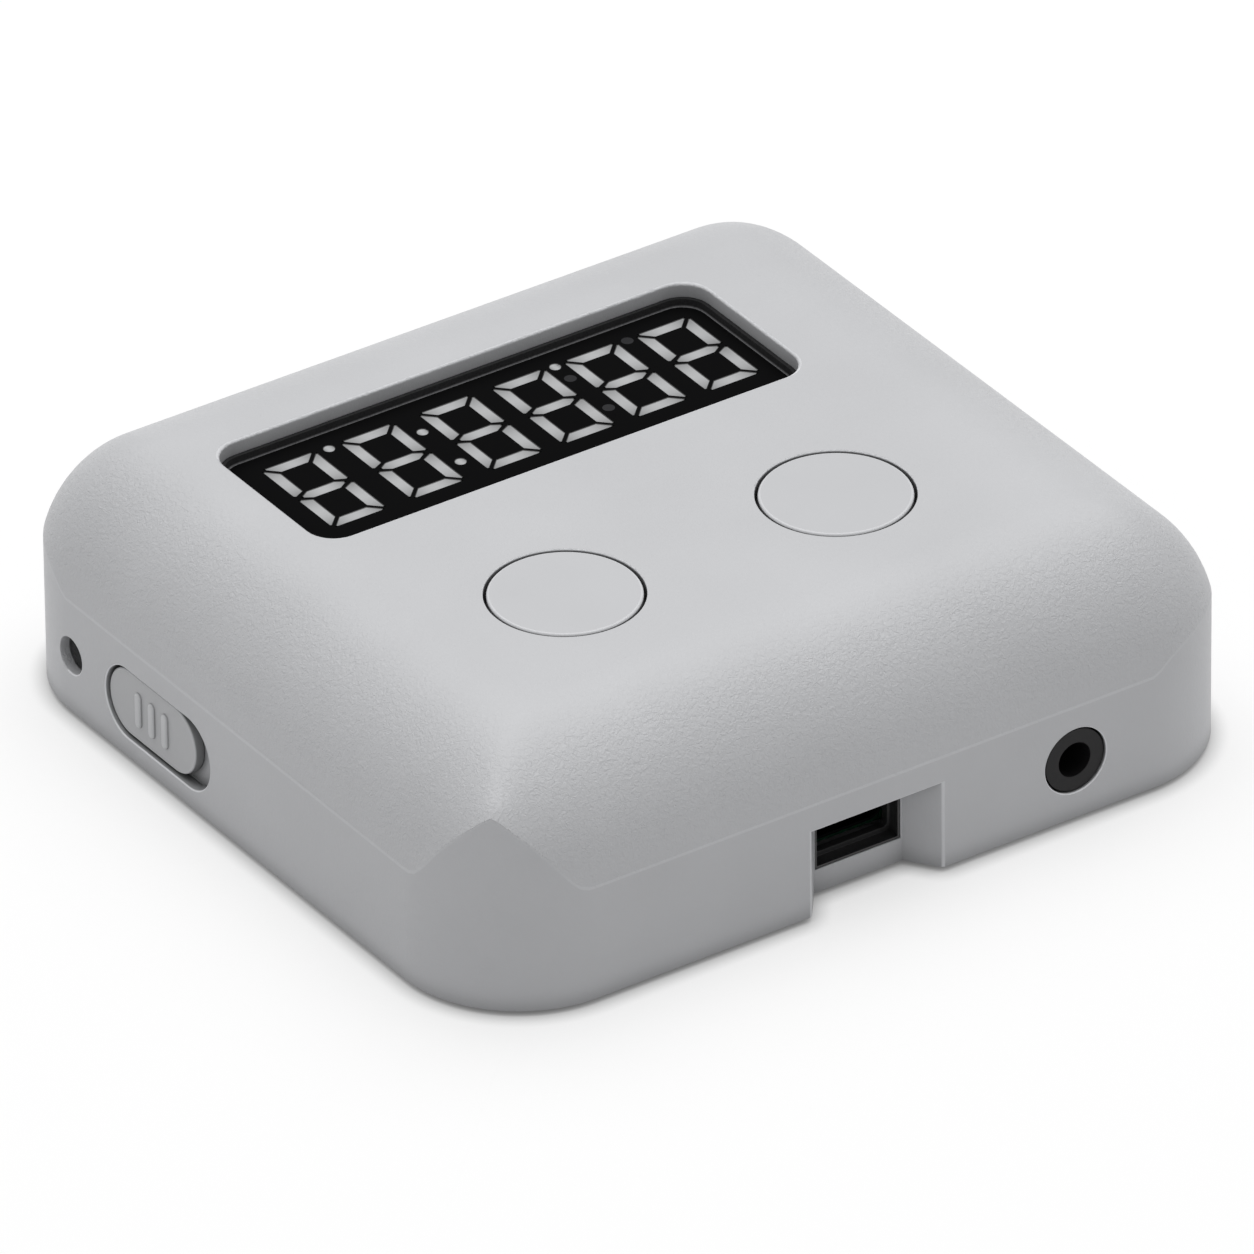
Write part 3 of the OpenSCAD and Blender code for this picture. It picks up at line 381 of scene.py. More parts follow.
notch_half = 7.4 * mm
notch_rear_half = 4.95 * mm
notch_back = -case_d / 2 + 3.2 * mm
notch_top = 9.8 * mm
notch_wall = 1.5 * mm
notch_edge = 0.22 * mm
port_half = 4.8 * mm
port_low = 3.1 * mm
port_high = 9.2 * mm
port_corner = 0.3 * mm
port_edge = 0.1 * mm
notch_slant = atan2(notch_half - notch_rear_half, notch_back + case_d / 2)
boss_r = 3 * mm
boss_places = [(x * mm, y * mm) for x in (-36, 36) for y in (-33.9, 33.9)]
post_r = 2.2 * mm
post_places = [(x * mm, y * mm) for x in (-31.7, 25.9) for y in (-21, 28.7)]
cap_boxes = {side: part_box(side + "_button_cap") for side in ("left", "right")}
cap_places = {side: (low + high) / 2 for side, (low, high) in cap_boxes.items()}
board_top = 4.5 * mm
panel_top = 15.5 * mm
roof_z = case_top - case_wall
ring_r = 10.2 * mm
ring_low = roof_z - 3.4 * mm
seat_inset = 1.2 * mm
seat_h = 2.1 * mm

shell = case_body("case_shell", 0, case_edge, 24, 30)
soften_rim(shell, rim_round)
end(shell)
cut(shell, end(case_body("hollow", case_wall, case_edge - mm, 12, 12)))
inner = notch_block("notch_walls", notch_wall, case_edge, notch_top + notch_wall)
for x, y in boss_places:
    combine(inner, rod("boss", boss_r, board_top, case_top, (x, y)), "UNION")
for x, y in post_places:
    combine(inner, rod("post", post_r, panel_top, case_top, (x, y)), "UNION")
for place in cap_places.values():
    ring = rod("ring", ring_r, ring_low, roof_z + case_wall / 2, place[:2], 64)
    combine(inner, ring, "UNION")
combine(inner, end(case_body("inner_limit", case_wall / 2, case_edge, 12, 12)), "INTERSECT")
combine(shell, inner, "UNION")
seat = prism("cover_seat", case_w - 2 * seat_inset, case_d - 2 * seat_inset, corner_r - seat_inset,
             case_edge - mm, case_edge + seat_h, steps=16)
cut(seat, notch_block("seat_limit", notch_wall, case_edge - 2 * mm, notch_top))
cut(shell, seat)
cut(shell, notch_block("notch", 0, case_edge - mm, notch_top))
port_opening = prism("port_opening", 2 * port_half, 2 * (notch_wall + mm), port_corner, port_low,
                     port_high, (0, notch_back + notch_wall))
cut(shell, port_opening)


def soften(piece, width, test, steps=3):
    """Rounds the edges that pass a test on both their ends."""
    bpy.ops.object.select_all(action="DESELECT")
    bpy.context.view_layer.objects.active = piece
    piece.select_set(True)
    bpy.ops.object.mode_set(mode="EDIT")
    pick(piece, "edges", lambda e: all(test(v.co) for v in e.verts)
         and len(e.link_faces) == 2 and e.calc_face_angle(0) > radians(20))
    bpy.ops.mesh.bevel(offset=width, segments=steps, profile=0.5, affect="EDGES", loop_slide=False)
    bpy.ops.object.mode_set(mode="OBJECT")


def near(value, wanted):
    """True where two lengths agree to a hundredth of a millimetre."""
    return abs(value - wanted) < tiny


soften(shell, notch_edge, lambda p: near(p.y, -case_d / 2) and abs(p.x) < notch_half + tiny
       and p.z < notch_top + tiny)
soften(shell, port_edge, lambda p: near(p.y, notch_back) and abs(p.x) < port_half + tiny
       and port_low - tiny < p.z < port_high + tiny, 2)


def drill(name, face, depth, rounding, out_axis, place, flare_steps=4):
    """A cutter for an opening: the face's outline sunk in along Z, its mouth flared by a
    rounding, then turned so that Z points out of the wall (-X, -Y or Z), and put in place."""
    piece, width, height = face(name)
    turns = [radians(78) * (1 - k / flare_steps) for k in range(flare_steps + 1)]
    flare = [(rounding * (1 - cos(a)), rounding * (1 - sin(a))) for a in turns]
    wide = width + 2 * flare[0][0]
    tall = height + 2 * flare[0][0]
    bpy.ops.transform.resize(value=(wide / width, tall / height, 1), center_override=(0, 0, 0))
    bpy.ops.transform.translate(value=(0, 0, mm))
    extrude((0, 0, -mm - flare[0][1]))
    for (out, down), (next_out, next_down) in zip(flare, flare[1:]):
        extrude((0, 0, down - next_down), ((width + 2 * next_out) / (width + 2 * out),
                                           (height + 2 * next_out) / (height + 2 * out), 1))
    extrude((0, 0, rounding - depth))
    face_wall(piece, out_axis, place)
    return end(piece)


def face_wall(piece, out_axis, place):
    """In edit mode, turns what was drawn flat to face out of a wall, its Y upright, and places it."""
    turn = Matrix()
    if out_axis[0]:
        turn = Matrix(((0, 0, -1, 0), (-1, 0, 0, 0), (0, 1, 0, 0), (0, 0, 0, 1)))
    if out_axis[1]:
        turn = Matrix(((1, 0, 0, 0), (0, 0, -1, 0), (0, 1, 0, 0), (0, 0, 0, 1)))
    mesh = bmesh.from_edit_mesh(piece.data)
    mesh.transform(Matrix.Translation(place) @ turn)
    bmesh.update_edit_mesh(piece.data)


def round_face(radius, steps):
    """A round outline for a cutter."""
    def face(name):
        piece = begin(bpy.ops.mesh.primitive_circle_add, name, vertices=steps, radius=radius,
                      fill_type="NGON", location=(0, 0, 0))
        return piece, 2 * radius, 2 * radius
    return face


def plate_face(width, height, radius, steps):
    """An outline with round corners for a cutter."""
    def face(name):
        return round_plate(name, width, height, radius, 0, steps), width, height
    return face


def wall_rod(name, radius, start, stop, y, z):
    """A round rod that runs inwards from the left wall's face, between two depths."""
    piece = begin(bpy.ops.mesh.primitive_cylinder_add, name, vertices=48, radius=radius,
                  depth=stop - start, location=((start + stop - case_w) / 2, y, z),
                  rotation=(0, pi / 2, 0))
    return end(piece)


def half_round(width):
    """A corner radius that rounds a whole end, but for a hair of straight side."""
    return width / 2 - tiny


window_w = 54.6 * mm
window_d = 20 * mm
window_r = 3 * mm
window_edge = 0.32 * mm
gasket_low, gasket_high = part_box("display_gasket")
window_x = (gasket_low.x + gasket_high.x) / 2
window_y = (gasket_low.y + gasket_high.y) / 2
gasket_seat_w = 58.9 * mm
gasket_seat_d = 24.3 * mm
gasket_seat_r = 5.15 * mm
hole_r = 7.6 * mm
ring_bore_r = 9.1 * mm
boss_pilot_r = 0.95 * mm
boss_pilot_l = 8 * mm
post_pilot_r = 0.85 * mm
post_pilot_l = 5 * mm
knob_low, knob_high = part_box("slider_knob")
pocket_l = 17.8 * mm
pocket_w = 7.6 * mm
pocket_deep = 1.4 * mm
slider_travel = 2.6 * mm
slider_z = 6.4 * mm
knob_y = (knob_low.y + knob_high.y) / 2
pocket_y = knob_y - slider_travel / 2
slot_l = 6 * mm
slot_w = 3 * mm
slot_edge = 0.1 * mm
jack_x = 22.4 * mm
jack_z = 6.8 * mm
jack_hole_r = 3.45 * mm
sound_y = 27.8 * mm
sound_z = 6.7 * mm
sound_hole_r = 1.9 * mm
sound_recess_r = 2.7 * mm
sound_wall = 1.1 * mm
edge_round = 0.16 * mm
through = 4 * mm

window = drill("window", plate_face(window_w, window_d, window_r, 8), through, window_edge,
               (0, 0, 1), (window_x, window_y, case_top))
cut(shell, window)
gasket_seat = prism("gasket_seat", gasket_seat_w, gasket_seat_d, gasket_seat_r, roof_z - mm,
                    gasket_high.z, (window_x, window_y))
cut(shell, gasket_seat)
for place in cap_places.values():
    button_hole = drill("button_hole", round_face(hole_r, 96), through, edge_round,
                        (0, 0, 1), (place.x, place.y, case_top))
    cut(shell, button_hole)
    cut(shell, rod("ring_bore", ring_bore_r, ring_low - mm, roof_z, place[:2], 64))
for x, y in boss_places:
    pilot = rod("pilot", boss_pilot_r, board_top - mm, board_top + boss_pilot_l, (x, y), 24)
    cut(shell, pilot)
for x, y in post_places:
    pilot = rod("pilot", post_pilot_r, panel_top - mm, panel_top + post_pilot_l, (x, y), 24)
    cut(shell, pilot)
jack_hole = drill("jack_hole", round_face(jack_hole_r, 64), through, edge_round,
                  (0, -1, 0), (jack_x, -case_d / 2, jack_z))
cut(shell, jack_hole)
sound_hole = drill("sound_hole", round_face(sound_hole_r, 48), through, edge_round,
                   (-1, 0, 0), (-case_w / 2, sound_y, sound_z))
cut(shell, sound_hole)
sound_recess = wall_rod("sound_recess", sound_recess_r, sound_wall, through, sound_y, sound_z)
cut(shell, sound_recess)
pocket = drill("pocket", plate_face(pocket_l, pocket_w, half_round(pocket_w), 20), pocket_deep,
               edge_round, (-1, 0, 0), (-case_w / 2, pocket_y, slider_z))
cut(shell, pocket)
slot = drill("slot", plate_face(slot_l, slot_w, 0.2 * mm, 3), through, slot_edge,
             (-1, 0, 0), (-case_w / 2 + pocket_deep, pocket_y, slider_z))
cut(shell, slot)
smooth(shell)


def paint_highlight(piece, value, test):
    """Sets the painted highlight that lightens a moulded edge on the points that pass a test."""
    marks = piece.data.attributes.get("rim_highlight") or piece.data.attributes.new("rim_highlight", "FLOAT", "POINT")
    for v, one in zip(piece.data.vertices, marks.data):
        if test(v.co):
            one.value = value


wall_openings_top = 12 * mm
highlight_from = 0.004 * mm
highlight_to = 0.14 * mm
opening_highlight = 2.4
socket_highlight = 5
window_front_highlight = 6


def on_opening_edge(p):
    """True on the rounded edge of an opening in the flat of the top or of a wall."""
    sunk = 0
    if abs(p.x) < case_w / 2 - top_round and abs(p.y) < case_d / 2 - top_round:
        sunk = case_top - p.z
    if p.z < wall_openings_top and abs(p.y) < case_d / 2 - corner_r:
        sunk = max(sunk, p.x + case_w / 2)
    if p.z < wall_openings_top and abs(p.x) < case_w / 2 - corner_r:
        sunk = max(sunk, p.y + case_d / 2)
    return highlight_from < sunk < highlight_to


# painted highlights lighten the rounded edges of the openings, more on the wall sockets and most on the
# window's front edge
paint_highlight(shell, opening_highlight, on_opening_edge)
paint_highlight(shell, socket_highlight, lambda p: on_opening_edge(p) and p.z < wall_openings_top
     and abs(p.x) > notch_half + mm)
paint_highlight(shell, window_front_highlight, lambda p: on_opening_edge(p)
     and abs(p.y - window_y + window_d / 2) < window_edge - 2 * tiny)


def effect(name, inputs, outputs):
    """A node group with its named inputs and outputs, ready to be filled."""
    group = bpy.data.node_groups.new(name, "ShaderNodeTree")
    for label, kind, value in inputs:
        socket = group.interface.new_socket(label, in_out="INPUT", socket_type="NodeSocket" + kind)
        socket.default_value = value
    for label, kind in outputs:
        group.interface.new_socket(label, in_out="OUTPUT", socket_type="NodeSocket" + kind)
    return group, group.nodes.new("NodeGroupInput"), group.nodes.new("NodeGroupOutput")


def spots(tree, kind, scale, **settings):
    """A noise or cell texture on the object's own place, at a scale per metre."""
    place = node(tree, "TexCoord").outputs["Object"]
    inputs = {"Vector": place, "Scale": scale}
    inputs.update({name: settings.pop(name) for name in list(settings) if name[0].isupper()})
    return node(tree, kind, inputs, **settings)


def ramp(tree, value, low, high, to_low=0.0, to_high=1.0):
    """Stretches a value between two limits over another range, and holds it there."""
    return node(tree, "MapRange", {"Value": value, "From Min": low, "From Max": high,
                                   "To Min": to_low, "To Max": to_high}).outputs[0]


def scaled(tree, colour, by):
    """A colour made lighter or darker by a value."""
    return node(tree, "VectorMath", {0: colour, "Scale": by}, operation="SCALE").outputs[0]


def blended(tree, share, first, second):
    """One colour where the share is 0, and the other where it is 1."""
    return node(tree, "Mix", {0: share, 6: first, 7: second}, data_type="RGBA").outputs[2]


def bumped(tree, height, depth, eased=0, strength=1, samples=4):
    """The surface's normal with a height map on it, its sharp edges eased by a radius."""
    inputs = {"Height": height, "Strength": strength, "Distance": depth}
    if eased:
        inputs["Normal"] = node(tree, "Bevel", {"Radius": eased}, samples=samples).outputs[0]
    return node(tree, "Bump", inputs).outputs[0]


def surfaced(made, tree, out, inputs):
    """The material with its shader in place, set up with the inputs that are named."""
    shader = node(tree, "BsdfPrincipled", inputs)
    tree.links.new(shader.outputs[0], out.inputs["Surface"])
    return made


grain, _, result = effect("crinkled_grain", [], [("Height", "Float")])
ridges = spots(grain, "TexNoise", 2300, Detail=3, Roughness=0.6, Distortion=0.9)
grain.links.new(ridges.outputs["Fac"], result.inputs["Height"])

drift, given, result = effect("tone_drift", [("Colour", "Color", (0.5, 0.5, 0.5, 1)),
                                             ("Drift", "Float", 0.03)], [("Colour", "Color")])
cloud = spots(drift, "TexNoise", 60, Detail=2)
change = ramp(drift, cloud.outputs["Fac"], 0.3, 0.7, -1, 1)
amount = reckon(drift, "MULTIPLY_ADD", change, given.outputs["Drift"], 1)
toned = scaled(drift, given.outputs["Colour"], amount)
drift.links.new(toned, result.inputs["Colour"])


def drifting(tree, colour, amount):
    """A colour that drifts slowly over the surface."""
    tone = node(tree, "Group", node_tree=drift)
    tone.inputs["Colour"].default_value = (*colour, 1)
    tone.inputs["Drift"].default_value = amount
    return tone.outputs["Colour"]


def highlighted(tree, shade, painted_highlight):
    """The colour lightened by a painted highlight where the piece's edge mark is set, and the mark."""
    highlight_line = node(tree, "Attribute", attribute_name="rim_highlight").outputs["Fac"]
    return scaled(tree, shade, reckon(tree, "MULTIPLY_ADD", highlight_line, painted_highlight, 1)), highlight_line


crevice_shade_reach = 3.4 * mm


def moulded_plastic(name, colour, roughness, depth, eased=0, painted_highlight=0, specular=0.5, crevice_shade=0.5,
                    curved_only=False):
    """Moulded plastic: a fine crinkled grain, a slow drift of its tone, painted shade in its crevices,
    and eased edges on a solid that has sharp ones. A painted highlight lightens the line along a
    moulded edge, and curved_only leaves the grain mostly on the roundings."""
    made, tree, out = empty_material(name)
    marks = node(tree, "Group", node_tree=grain).outputs["Height"]
    strength = 1
    if curved_only:
        facing = node(tree, "NewGeometry").outputs["Normal"]
        up = node(tree, "SeparateXYZ", {"Vector": facing}).outputs["Z"]
        rising = ramp(tree, up, 0.03, 0.3, 0.2, 1)
        level = ramp(tree, up, 0.86, 0.99, 1, 0.35)
        strength = reckon(tree, "MULTIPLY", rising, level)
    shade = drifting(tree, colour, 0.025)
    # ambient occlusion darkens the colour in crevices, gaps and holes: painted shade
    crevice = node(tree, "AmbientOcclusion", {"Distance": crevice_shade_reach}, samples=8).outputs["AO"]
    if painted_highlight:
        shade, highlight_line = highlighted(tree, shade, painted_highlight)
        crevice = reckon(tree, "ADD", crevice, highlight_line)
    return surfaced(made, tree, out, {
        "Base Color": scaled(tree, shade, ramp(tree, crevice, 0.15, 0.9, 1 - crevice_shade, 1)),
        "Roughness": ramp(tree, marks, 0.3, 0.7, roughness - 0.06, roughness + 0.06),
        "Normal": bumped(tree, marks, depth, eased, strength), "Specular IOR Level": specular})


def finish(piece, material, replaced, body="root"):
    """Gives a piece its material, hides the node it stands for and attaches it to its body."""
    piece.data.materials.clear()
    piece.data.materials.append(material)
    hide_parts(replaced)
    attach(piece, body)


case_grey = (0.555, 0.56, 0.575)
# the shell's colour carries painted shade in its crevices and painted highlights along its moulded
# edges
finish(shell, moulded_plastic("light_grey_abs", case_grey, 0.42, 0.13 * mm, painted_highlight=0.11, crevice_shade=0.78,
                              curved_only=True),
       "upper_case")

# --- Base cover -----------------------------------------------------------------
# A flat ABS cover that closes the case from below. It is moulded in the same grey
# as the case, a little darker, and held by the four case screws.


def dress(name, material):
    """Gives a carried-over CAD node a material in place of its plain one."""
    for one in cad[name].material_slots:
        one.material = material


dress("base_cover", moulded_plastic("cover_abs", (0.50, 0.505, 0.52), 0.48, 0.02 * mm, eased=0.15 * mm))

# --- Case screws and display board screws ---------------------------------------
# Small cross-head screws of zinc-plated steel, turned and rolled, so that fine
# rings run round them. They hold the cover and the display board.


def metal(name, colour, roughness, rings=0, stretch=(1, 1, 1), eased=0.03 * mm):
    """Bare metal: fine streaks or rings that change its gloss, and small stains."""
    made, tree, out = empty_material(name)
    place = node(tree, "TexCoord").outputs["Object"]
    pulled = node(tree, "Mapping", {"Vector": place, "Scale": stretch})
    streak = node(tree, "TexNoise", {"Vector": pulled.outputs[0], "Scale": 4000, "Detail": 3})
    height = streak.outputs["Fac"]
    if rings:
        bands = node(tree, "TexWave", {"Vector": place, "Scale": rings, "Distortion": 0.6},
                     bands_direction="Z")
        height = reckon(tree, "ADD", height, bands.outputs["Fac"])
    stain = spots(tree, "TexNoise", 700, Detail=4).outputs["Fac"]
    return surfaced(made, tree, out, {
        "Base Color": drifting(tree, colour, 0.08), "Metallic": 1,
        "Roughness": ramp(tree, stain, 0.3, 0.7, roughness - 0.08, roughness + 0.1),
        "Normal": bumped(tree, height, 0.004 * mm, eased, 0.6)})


zinc = metal("zinc_plated_steel", (0.56, 0.56, 0.57), 0.32, rings=900)
dress("case_screws", zinc)
dress("display_board_screws", zinc)

# --- Rubber feet ----------------------------------------------------------------
# Four round feet of dark rubber, glued into shallow pockets of the cover. Their
# surface is dull and finely pitted.


def soft_foam(name, colour, cells, depth, sheen, roughness=0.85, specular=0.3, painted_highlight=0):
    """Rubber or foam: small cells or pits, darker inside them as painted shade, a dull surface and
    a slight bloom. A painted highlight lightens it along a marked edge."""
    made, tree, out = empty_material(name)
    pits = spots(tree, "TexVoronoi", cells, Randomness=1).outputs["Distance"]
    fine = spots(tree, "TexNoise", cells * 1.7, Detail=4).outputs["Fac"]
    height = reckon(tree, "ADD", pits, fine)
    # the colour is darker in the pits: painted shade
    shade = scaled(tree, drifting(tree, colour, 0.12), ramp(tree, pits, 0.1, 0.6, 0.8, 1.15))
    if painted_highlight:
        shade = highlighted(tree, shade, painted_highlight)[0]
    return surfaced(made, tree, out, {
        "Base Color": shade, "Roughness": roughness, "Normal": bumped(tree, height, depth),
        "Sheen Weight": sheen, "Sheen Roughness": 0.4, "Specular IOR Level": specular})


dress("rubber_feet", soft_foam("dark_rubber", (0.022, 0.022, 0.024), 5200, 0.01 * mm, 0.15, 0.7))
dress("battery_pad", soft_foam("grey_pad_foam", (0.12, 0.12, 0.13), 2600, 0.05 * mm, 0.1))

# --- Display gasket -------------------------------------------------------------
# A frame of dense dark foam between the case and the display. Its foot spreads a
# little where it is pressed on the display's face.

gasket_r = 5 * mm
foot_spread = 0.14 * mm
gasket_size = gasket_high - gasket_low
gasket = prism("display_gasket_frame", gasket_size.x, gasket_size.y, gasket_r, gasket_low.z,
               gasket_high.z, (window_x, window_y), 10)
well_inset = 0.4 * mm
well_w = window_w - 2 * well_inset
well_d = window_d - 2 * well_inset
well_foot_w = well_w - 2 * foot_spread
well_foot_d = well_d - 2 * foot_spread
well = round_plate("well", well_w, well_d, window_r - well_inset, gasket_high.z + mm, 8)
extrude((0, 0, gasket_low.z + foot_spread - gasket_high.z - mm))
extrude((0, 0, -foot_spread), (well_foot_w / well_w, well_foot_d / well_d, 1))
extrude((0, 0, -mm))
bpy.ops.mesh.select_all(action="SELECT")
bpy.ops.transform.translate(value=(window_x, window_y, 0))
cut(gasket, end(well))
smooth(gasket)
# a painted highlight lightens the foam's foot, where it meets the display's face
paint_highlight(gasket, 1, lambda p: near(p.z, gasket_low.z))
gasket_foam = soft_foam("dense_dark_foam", (0.03, 0.03, 0.031), 4200, 0.012 * mm, 0.02,
                        specular=0.1, painted_highlight=5)
finish(gasket, gasket_foam, "display_gasket")

# --- Display strokes and dots ---------------------------------------------------
# Milky diffusers of cast resin, set flush in the display's black face, whose paint laps
# over their borders. Each stroke is shallow-dished and blunt at its tips, with a painted
# glow that is brightest in its middle. The dots that stay dark are unlit resin.


def copy_of(name, new_name):
    """A copy of a CAD node's mesh with its corners merged, for a piece that takes its place."""
    piece = bpy.data.objects.new(new_name, cad[name].data.copy())
    piece.data.name = new_name
    bpy.context.scene.collection.objects.link(piece)
    bpy.ops.object.select_all(action="DESELECT")
    bpy.context.view_layer.objects.active = piece
    piece.select_set(True)
    bpy.ops.object.mode_set(mode="EDIT")
    bpy.ops.mesh.select_all(action="SELECT")
    bpy.ops.mesh.remove_doubles(threshold=1e-6)
    bpy.ops.mesh.dissolve_limited(angle_limit=radians(1))
    return piece


def islands(mesh):
    """The separate lumps of a mesh, each as a list of its vertices."""
    left = set(mesh.verts)
    while left:
        lump = [left.pop()]
        for v in lump:
            for e in v.link_edges:
                other = e.other_vert(v)
                if other in left:
                    left.remove(other)
                    lump.append(other)
        yield lump


strokes = copy_of("display_segments", "display_strokes")
face_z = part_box("display_segments")[1].z
tip_cut = 0.28 * mm
border = 0.09 * mm
border_h = 0.05 * mm
dish = 0.03 * mm
pick(strokes, "edges", lambda e: abs(e.verts[0].co.z - e.verts[1].co.z) > 0.2 * mm
     and len(e.link_faces) == 2 and e.calc_face_angle(0) > radians(100))
bpy.ops.mesh.bevel(offset=tip_cut, segments=1, affect="EDGES")
pick(strokes, "faces", lambda f: f.normal.z > 0.9 and f.calc_center_median().z > face_z - tiny)
bpy.ops.mesh.inset(thickness=border, depth=-border_h, use_individual=True)
bpy.ops.mesh.quads_convert_to_tris()
bpy.ops.mesh.subdivide(number_cuts=6)
mesh = bmesh.from_edit_mesh(strokes.data)
glow = mesh.verts.layers.float.new("glow")
for lump in islands(mesh):
    xs = [v.co.x for v in lump]
    ys = [v.co.y for v in lump]
    half = max(max(xs) - min(xs), max(ys) - min(ys)) / 2
    along_x = max(xs) - min(xs) > max(ys) - min(ys)
    x0 = (max(xs) + min(xs)) / 2
    y0 = (max(ys) + min(ys)) / 2
    for v in lump:
        along = abs(v.co.x - x0 if along_x else v.co.y - y0) / half
        painted = v.co.z > face_z - 2 * tiny
        # the glow mark is painted light, highest in each stroke's middle; -1 marks the black paint
        # lapping over its border
        v[glow] = -1 if painted else 1 - 0.75 * along ** 1.6
        if not painted and v.co.z > face_z - 0.2 * mm:
            v.co.z -= dish * (1 - along ** 2)
bmesh.update_edit_mesh(strokes.data)
end(strokes)
smooth(strokes, 30)


def milky_resin(name, colour, painted_glow_strength):
    """Cast resin with tiny specks in it, lit by a painted glow in its colour and a faint emission,
    highest in each stroke's middle.
    """
    made, tree, out = empty_material(name)
    lamp_or_painted_glow = node(tree, "Attribute", attribute_name="glow").outputs["Fac"]
    specks = spots(tree, "TexVoronoi", 5200, Randomness=1).outputs["Distance"]
    fleck = ramp(tree, specks, 0.06, 0.16, 0.86, 1)
    light = reckon(tree, "MULTIPLY", lamp_or_painted_glow, fleck, use_clamp=True)
    spread = ramp(tree, light, 0, 1, 0.35, 1)
    clear = ramp(tree, lamp_or_painted_glow, -0.08, 0.04, 0.03, 1)
    shown = reckon(tree, "MULTIPLY", spread, clear)
    # faint emission from the painted glow: painted light, not a lamp
    power = reckon(tree, "MULTIPLY", light, painted_glow_strength)
    return surfaced(made, tree, out, {
        "Base Color": scaled(tree, drifting(tree, colour, 0.05), shown), "Roughness": 0.4,
        "Emission Color": (0.95, 0.97, 1, 1), "Emission Strength": power})


finish(strokes, milky_resin("milky_resin", (0.4, 0.405, 0.41), 0.05),
       "display_segments")
dress("display_dots", moulded_plastic("unlit_resin", (0.016, 0.016, 0.018), 0.5, 0.004 * mm,
                                      specular=0.15))

# --- Display body ---------------------------------------------------------------
# A block of matt black plastic with a well for each stroke and dot. Its face is
# sprayed dull, so it shows only a faint even grain.

dress("display_housing", moulded_plastic("dull_black_face", (0.006, 0.006, 0.0062), 0.5, 0.006 * mm,
                                         eased=0.05 * mm, specular=0))

# --- Button caps ----------------------------------------------------------------
# Two round caps of smooth satin ABS, flush with the top. Each has a flange that
# keeps it in, a hollow underside and a stem that stands on its switch.


def turned(name, outline, place, steps=96):
    """A solid turned round an upright axis, from the (radius, height) points of its outline."""
    radius, height = outline[0]
    piece = begin(bpy.ops.mesh.primitive_circle_add, name, vertices=steps, radius=radius,
                  fill_type="NGON", location=(*place, height))
    for (r, z), (next_r, next_z) in zip(outline, outline[1:]):
        extrude((0, 0, next_z - z), (next_r / r, next_r / r, 1), (*place, next_z))
    return end(piece)


cap_r = 7.3 * mm
cap_edge = 0.3 * mm
cap_highlight = 2
cap_highlight_to = 0.16 * mm
stem_r = 1.9 * mm
hollow_r = 6.1 * mm
cap_roof = 1.6 * mm
flange_r = 8.8 * mm
flange_h = mm
flange_edge = 0.1 * mm
satin = moulded_plastic("satin_grey_abs", (0.55, 0.555, 0.57), 0.42, 0.006 * mm, painted_highlight=0.11, crevice_shade=0.7)
for side, place in cap_places.items():
    low, high = cap_boxes[side]
    roof = high.z - cap_roof
    flange_low = high.z - 3.3 * mm
    flange_high = flange_low + flange_h
    arc = [(cap_r - cap_edge + cap_edge * cos(a), high.z - cap_edge + cap_edge * sin(a))
           for a in (pi / 2 * k / 6 for k in range(7))]
    outline = [(stem_r, low.z), (stem_r, roof), (hollow_r, roof), (hollow_r, flange_low),
               (flange_r - flange_edge, flange_low), (flange_r, flange_low + flange_edge),
               (flange_r, flange_high - flange_edge), (flange_r - flange_edge, flange_high),
               (cap_r, flange_high)] + arc
    cap = turned(side + "_cap", outline, place[:2])
    smooth(cap)
    # a painted highlight lightens the cap's rounded top edge
    paint_highlight(cap, cap_highlight, lambda p: highlight_from < high.z - p.z < cap_highlight_to)
    finish(cap, satin, side + "_button_cap", side + "_button")

# --- Slider knob ----------------------------------------------------------------
# A long round-ended knob of grey ABS with three grip ribs. Its post goes through
# the slot in the pocket's floor, and two hooks hold it behind the wall.

knob_w = knob_high.z - knob_low.z
knob_l = knob_high.y - knob_low.y
knob_edge = 0.25 * mm
knob_face = -case_w / 2 + 0.3 * mm
knob_back = knob_face + mm
rib_l = 3.8 * mm
rib_w = mm
rib_h = 0.28 * mm
rib_root = 0.2 * mm
rib_pitch = 2.25 * mm
post_l = 3 * mm
post_h = 2.6 * mm
hook_x = -case_w / 2 + case_wall + 0.1 * mm
hook_back = hook_x + 0.6 * mm
hook_h = 4 * mm
lever_hole_l = 1.6 * mm
lever_hole_h = 1.3 * mm
lever_tip = -case_w / 2 + case_wall - 0.2 * mm
knob_highlight = 2.2
knob_highlight_to = 0.08 * mm
rib_highlight_from = 0.12 * mm


def wall_block(name, width, height, radius, inner_x, outer_x, y, edge=0, steps=12):
    """A block with round corners that stands out of the left wall, its outer edge rounded."""
    piece = round_plate(name, width, height, radius, -inner_x, steps)
    extrude((0, 0, inner_x - outer_x - edge))
    for k in range(1, 5 if edge else 1):
        a, b = pi / 2 * (k - 1) / 4, pi / 2 * k / 4
        before = 2 * edge * (1 - cos(a))
        here = 2 * edge * (1 - cos(b))
        extrude((0, 0, edge * (sin(b) - sin(a))), ((width - here) / (width - before),
                                                   (height - here) / (height - before), 1))
    face_wall(piece, (-1, 0, 0), (0, y, slider_z))
    return end(piece)


